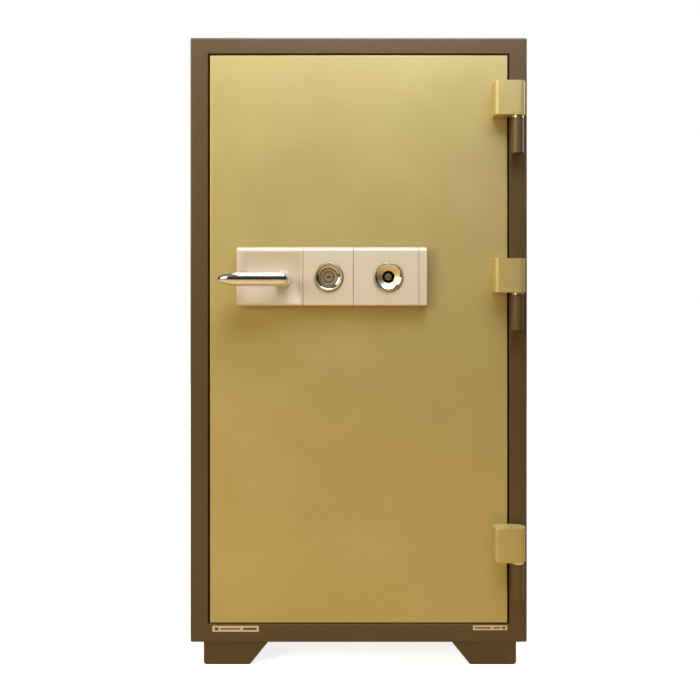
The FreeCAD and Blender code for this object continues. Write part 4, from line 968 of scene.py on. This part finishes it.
columns = [low.x, low.x + LEFT_LIP]
columns += [low.x + LEFT_LIP + LEFT_BLEND * i / 16 for i in range(1, 17)]
step_start = high.x - RIGHT_LIP - RIGHT_STEP
columns += [columns[-1] + (step_start - columns[-1]) * i / 12 for i in range(1, 13)]
columns += [step_start + RIGHT_STEP * i / 5 for i in range(1, 6)] + [high.x]
rows = [i / 48 for i in range(49)]
work = bmesh.new()
moulding(work, low, high, columns, rows, scoop)
set_piece(
    "lever_cover",
    work,
    [cream_lacquer],
    "door",
    ["handle_escutcheon"],
    edge=PANEL_EDGE,
)

low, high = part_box("panel_end_cap")
work = bmesh.new()
moulding(work, low, high, [low.x, high.x], [0, 1], lambda x, z: 0)
set_piece("end_cover", work, [cream_lacquer], "door", ["panel_end_cap"], edge=PANEL_EDGE)

LOCK_HOLE = 0.02525
locks = {}
for which, node in (("a", "lock_cover_left"), ("b", "lock_cover_right")):
    low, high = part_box(node)
    ring_low, ring_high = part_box(f"lock_bezel_{which}")
    centre = Vector(((ring_low.x + ring_high.x) / 2, ring_low.y, (ring_low.z + ring_high.z) / 2))
    locks[which] = centre
    face_low = low.z + FOOT_SLOPE
    face_high = high.z - TOP_SLOPE_HEIGHT
    corners = [(x, z) for x in (low.x, high.x) for z in (face_low, face_high)]
    angles = {math.atan2(z - centre.z, x - centre.x) for x, z in corners}
    angles |= {math.radians(a) for a in range(-177, 180, 5)}
    circle, face, sloped, back = [], [], [], []
    work = bmesh.new()
    for angle in sorted(angles):
        cos, sin = math.cos(angle), math.sin(angle)
        reach_x = ((high.x if cos > 0 else low.x) - centre.x) / cos if abs(cos) > 1e-9 else 9
        reach_z = ((face_high if sin > 0 else face_low) - centre.z) / sin if abs(sin) > 1e-9 else 9
        reach = min(reach_x, reach_z)
        x, z = centre.x + cos * reach, centre.z + sin * reach
        t = (z - face_low) / (face_high - face_low)
        wide_z = low.z + (high.z - low.z) * t
        slope_y = low.y + FOOT_SLOPE + (TOP_SLOPE_DEPTH - FOOT_SLOPE) * t
        hole = (centre.x + cos * LOCK_HOLE, centre.z + sin * LOCK_HOLE)
        circle.append([work.verts.new((hole[0], y, hole[1])) for y in (high.y, low.y)])
        face.append(work.verts.new((x, low.y, z)))
        sloped.append(work.verts.new((x, slope_y, wide_z)))
        back.append(work.verts.new((x, high.y, wide_z)))
    rings = [[c[0] for c in circle], [c[1] for c in circle], face, sloped, back]
    count = len(face)
    for first, second in zip(rings, rings[1:]):
        for i in range(count):
            work.faces.new((first[i], first[(i + 1) % count], second[(i + 1) % count], second[i]))
    set_piece(f"lock_cover_{which}", work, [cream_lacquer], "door", [node], edge=PANEL_EDGE)

# ------------------------------------------------------------------ key locks
# Each lock has a chromed ring pressed into its cover and a turned key plug in the middle of the
# ring's dish. The first has a flat plug with a slot, the second a stepped one with a round nose.

# Bright chrome plate: a mirror with the faintest polishing haze.
bright_chrome, tree = new_material("bright_chrome")
coordinates = add(tree, "ShaderNodeTexCoord")
haze = add(
    tree,
    "ShaderNodeTexNoise",
    {"Scale": 90.0, "Detail": 5.0},
    {"Vector": coordinates.outputs["Object"]},
)
mirror = add(
    tree,
    "ShaderNodeMapRange",
    {"To Min": 0.04, "To Max": 0.10},
    {"Value": haze.outputs[0]},
)
close(
    tree,
    add(
        tree,
        "ShaderNodeBsdfPrincipled",
        {"Base Color": linear("#e9e7e3"), "Metallic": 1.0},
        {"Roughness": mirror.outputs["Result"]},
    ),
)


def turned_metal(name, colour, roughness):
    """A metal faced on a lathe: rings 0.8 mm apart round the middle of the piece."""
    material, tree = new_material(name)
    coordinates = add(tree, "ShaderNodeTexCoord")
    rings = add(
        tree,
        "ShaderNodeTexWave",
        {"wave_type": "RINGS", "rings_direction": "Y", "Scale": 200.0, "Distortion": 0.3},
        {"Vector": coordinates.outputs["Object"]},
    )
    relief = add(
        tree,
        "ShaderNodeBump",
        {"Strength": 0.2, "Distance": 0.0001},
        {"Height": rings.outputs[0]},
    )
    close(
        tree,
        add(
            tree,
            "ShaderNodeBsdfPrincipled",
            {"Base Color": linear(colour), "Metallic": 1.0, "Roughness": roughness},
            {"Normal": relief.outputs["Normal"]},
        ),
    )
    return material


# Nickel-plated brass, turned: champagne grey; the band of it on each chromed ring's face is a painted warm
# reflection. Blackened steel, turned: nearly black, half matt; the bands of it round each ring's outer edge,
# in its dish and in the plugs' grooves are painted shade and painted dark reflection.
nickel_and_painted_reflection = turned_metal("nickel_and_painted_reflection", "#dfcfaa", 0.42)
blackened_steel_and_painted_shade = turned_metal("blackened_steel_and_painted_shade", "#2b2926", 0.4)


def lathe(work, profile, steps=96):
    """A body turned about the Y axis. profile is (along, radius, material) rows, from the rim."""
    rings = []
    for along, radius, _ in profile:
        if radius == 0:
            rings.append([work.verts.new((0, along, 0))])
            continue
        angles = [2 * math.pi * i / steps for i in range(steps)]
        rings.append([work.verts.new((radius * math.cos(a), along, radius * math.sin(a))) for a in angles])
    for (first, second), row in zip(zip(rings, rings[1:]), profile):
        for i in range(steps):
            after = (i + 1) % steps
            if len(second) == 1:
                face = work.faces.new((first[i], first[after], second[0]))
            else:
                face = work.faces.new((first[i], first[after], second[after], second[i]))
            face.material_index = row[2]
    return rings


# In these tables, material 1 (champagne nickel) on the chromed rings paints a warm reflection. Material 2
# (blackened steel) paints the dark outline and the dark band in the dish as shade.
mm_ring_a = [
    (8, 15.1, 0), (3, 24.5, 0), (3, 28, 2), (1.2, 28, 2), (0.4, 27.3, 1), (0, 26.4, 1), (0.1, 24.6, 1),
    (0.6, 23.4, 0), (1.6, 22.3, 2), (5.6, 20.8, 2), (6.0, 19.4, 1), (6.0, 18.2, 1), (5.4, 17.8, 1),
    (5.4, 16.8, 2), (6.4, 16.4, 2), (6.6, 15.8, 1), (7, 13.2, 1), (7, 12.1, 1), (20, 12.1, 1),
]
mm_ring_b = [
    (8, 15.1, 0), (3, 24.5, 0), (3, 28, 2), (1.2, 28, 2), (0.4, 27.3, 1), (0, 26.4, 1), (0.1, 25.2, 2),
    (0.5, 24.7, 0), (0.5, 24.0, 0), (1.6, 22.0, 1), (3.2, 19.4, 1), (4.8, 16.4, 1), (6.4, 13.2, 1),
    (7, 12.1, 2), (20, 12.1, 2),
]
for which, rows in (("a", mm_ring_a), ("b", mm_ring_b)):
    work = bmesh.new()
    lathe(work, [(along / 1000, radius / 1000, index) for along, radius, index in rows])
    set_piece(
        f"lock_ring_{which}",
        work,
        [bright_chrome, nickel_and_painted_reflection, blackened_steel_and_painted_shade],
        "door",
        [f"lock_bezel_{which}"],
        centre=locks[which],
    )


def slotted_face(work, ring, along, floor, half_width, half_height, index):
    """Closes a turned face with a keyhole that has rounded ends, down to the dark shutter in it."""
    count = len(ring)
    rims = []
    for depth in (along, floor):
        rim = []
        for i in range(count):
            a = 2 * math.pi * i / count
            cos, sin = math.cos(a), math.sin(a)
            x = (half_width - half_height) * max(-1, min(1, cos * 1.6)) + half_height * cos
            rim.append(work.verts.new((x, depth, half_height * sin)))
        rims.append(rim)
    for first, second, finish in ((ring, rims[0], index), (rims[0], rims[1], 1)):
        for i in range(count):
            after = (i + 1) % count
            face = work.faces.new((first[i], first[after], second[after], second[i]))
            face.material_index = finish
    work.faces.new(rims[1]).material_index = 1


work = bmesh.new()
# The blackened bands round the plug's rim and in the groove on its face are painted shade.
mm_plug_a = [
    (40, 12, 0), (7.6, 12, 1), (7.1, 11.5, 0), (7.1, 10.0, 1), (7.8, 9.7, 1), (7.8, 9.2, 1),
    (7.1, 8.9, 0), (7.1, 7.2, 0),
]
rings = lathe(work, [(along / 1000, radius / 1000, index) for along, radius, index in mm_plug_a])
slotted_face(work, rings[-1], 0.0071, 0.0085, 0.0042, 0.0015, 0)
set_piece(
    "key_plug_flat",
    work,
    [nickel_and_painted_reflection, blackened_steel_and_painted_shade],
    "key_plug_a",
    ["key_plug_a"],
    centre=locks["a"],
)
work = bmesh.new()
# The blackened groove on the nose is painted shade.
mm_plug_b = [
    (40, 12, 0), (9.5, 12, 0), (9.0, 11.5, 1), (10.0, 10.9, 1), (10.0, 6.3, 0), (7.5, 6.2, 0), (7.1, 5.8, 0),
    (7.1, 4.6, 1), (7.8, 4.3, 1), (7.8, 3.5, 0), (7.2, 3.2, 0), (7.2, 2.6, 0),
]
rings = lathe(work, [(along / 1000, radius / 1000, index) for along, radius, index in mm_plug_b])
slotted_face(work, rings[-1], 0.0072, 0.0084, 0.0019, 0.0011, 0)
set_piece(
    "key_plug_stepped",
    work,
    [nickel_and_painted_reflection, blackened_steel_and_painted_shade],
    "key_plug_b",
    ["key_plug_b"],
    centre=locks["b"],
)

# ------------------------------------------------------------------ lever
# A die-cast zinc lever, polished and chromed, with a long bullet nose, on a turned neck that
# comes out through a lacquered collar in the scoop.
grip_low, grip_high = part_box("handle_grip")
neck_low, neck_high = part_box("handle_spindle")
spindle_x = (neck_low.x + neck_high.x) / 2
spindle_z = (neck_low.z + neck_high.z) / 2
grip_radius = (grip_high.z - grip_low.z) / 2
grip_y = (grip_low.y + grip_high.y) / 2
NOSE = 0.042
profile = []
nose_steps = 28
for i in range(nose_steps + 1):
    angle = math.pi / 2 * i / nose_steps
    profile.append((grip_low.x + NOSE * (1 - math.cos(angle)), grip_radius * math.sin(angle)))
profile += [(profile[-1][0] + (spindle_x - profile[-1][0]) * i / 6, grip_radius) for i in range(1, 7)]
for i in range(1, 15):
    angle = math.pi / 2 * (1 - i / 14)
    reach = grip_radius * math.cos(angle)
    profile.append((spindle_x + reach, grip_radius * math.sin(angle) if i < 14 else 0.0))


def turned_closed(work, rows, steps, place):
    """A turned body closed by a point at each end. rows are (along, radius), and place turns
    (along, across, up) into a point."""
    rings = []
    for along, radius in rows:
        if radius < 1e-7:
            rings.append([work.verts.new(place(along, 0, 0))])
            continue
        angles = [2 * math.pi * i / steps for i in range(steps)]
        circle = [(radius * math.cos(a), radius * math.sin(a)) for a in angles]
        rings.append([work.verts.new(place(along, across, up)) for across, up in circle])
    for first, second in zip(rings, rings[1:]):
        for i in range(steps):
            after = (i + 1) % steps
            if len(first) == 1:
                work.faces.new((first[0], second[after], second[i]))
            elif len(second) == 1:
                work.faces.new((first[i], first[after], second[0]))
            else:
                work.faces.new((first[i], first[after], second[after], second[i]))


work = bmesh.new()
turned_closed(work, profile, 96, lambda along, across, up: (along, grip_y + across, spindle_z + up))
set_piece("lever", work, [bright_chrome], "handle", ["handle_grip"])

NECK = 0.0095
neck_back = neck_high.y
work = bmesh.new()
neck_rows = [
    (grip_high.y - 0.006, 0.0),
    (grip_high.y - 0.006, NECK),
    (grip_high.y + 0.002, NECK),
    (grip_high.y + 0.0035, NECK - 0.0007),
    (grip_high.y + 0.0045, NECK - 0.0007),
    (grip_high.y + 0.006, NECK),
    (front_y - 0.017, NECK),
    (front_y - 0.017, 0.008),
    (neck_back - 0.001, 0.008),
    (neck_back, 0.007),
    (neck_back, 0.0),
]
turned_closed(work, neck_rows, 64, lambda along, across, up: (spindle_x + across, along, spindle_z + up))
set_piece("lever_neck", work, [bright_chrome], "handle", ["handle_spindle"])

bush_low, bush_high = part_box("handle_bush")
work = bmesh.new()
collar = bush_low.y
mm_collar = [
    (55, 9.6, 0), (0.6, 9.6, 0), (0.1, 10.1, 0), (0, 10.8, 0), (0, 14.6, 0), (0.3, 15.6, 0), (1.1, 16.25, 0),
    (2.0, 16.4, 0), (4.0, 16.4, 0), (4.0, 11, 0), (55, 11, 0), (55, 9.6, 0),
]
lathe(work, [(along / 1000, radius / 1000, index) for along, radius, index in mm_collar])
set_piece(
    "lever_collar",
    work,
    [cream_lacquer],
    "door",
    ["handle_bush"],
    centre=(spindle_x, collar, spindle_z),
)

# ------------------------------------------------------------------ blank plates
# Two thin printed aluminium plates riveted to the bottom border. They carry plain bars in place
# of any lettering.

# Printed aluminium: cream ground, satin, faintly mottled.
printed_plate, tree = new_material("printed_plate")
coordinates = add(tree, "ShaderNodeTexCoord")
mottle = add(
    tree,
    "ShaderNodeTexNoise",
    {"Scale": 150.0, "Detail": 3.0},
    {"Vector": coordinates.outputs["Object"]},
)
plate_colour = add(
    tree,
    "ShaderNodeMix",
    {"data_type": "RGBA", 6: linear("#d6c69c"), 7: linear("#e6d8b2")},
    {0: mottle.outputs[0]},
)
close(
    tree,
    add(
        tree,
        "ShaderNodeBsdfPrincipled",
        {"Roughness": 0.42, "Metallic": 0.1},
        {"Base Color": plate_colour.outputs[2]},
    ),
)

# Screen-printed brown ink: matt, a little thin in places.
printing_ink, tree = new_material("printing_ink")
coordinates = add(tree, "ShaderNodeTexCoord")
fade = add(
    tree,
    "ShaderNodeTexNoise",
    {"Scale": 400.0, "Detail": 2.0},
    {"Vector": coordinates.outputs["Object"]},
)
ink_colour = add(
    tree,
    "ShaderNodeMix",
    {"data_type": "RGBA", 6: linear("#4a3f2a"), 7: linear("#6a5b3e")},
    {0: fade.outputs[0]},
)
close(tree, add(tree, "ShaderNodeBsdfPrincipled", {"Roughness": 0.6}, {"Base Color": ink_colour.outputs[2]}))

for node, bars in (
    ("plate_left", [(0.05, 0.13, 0.25, 0.75), (0.17, 0.60, 0.38, 0.62), (0.66, 0.95, 0.30, 0.70)]),
    ("plate_right", [(0.06, 0.52, 0.34, 0.66), (0.60, 0.80, 0.34, 0.66), (0.85, 0.94, 0.22, 0.78)]),
):
    low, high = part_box(node)
    work = new_box(low, high)
    round_off(work, 0.0008, 3, lambda e: abs(e.verts[0].co.y - e.verts[1].co.y) > 1e-5)
    for start, end, foot, top in bars:
        spots = [
            (low.x + (high.x - low.x) * u, low.y - 0.00001, low.z + (high.z - low.z) * v)
            for u, v in ((start, foot), (end, foot), (end, top), (start, top))
        ]
        work.faces.new([work.verts.new(spot) for spot in spots]).material_index = 1
    set_piece(
        node.replace("plate", "border_plate"),
        work,
        [printed_plate, printing_ink],
        "cabinet",
        [node],
    )
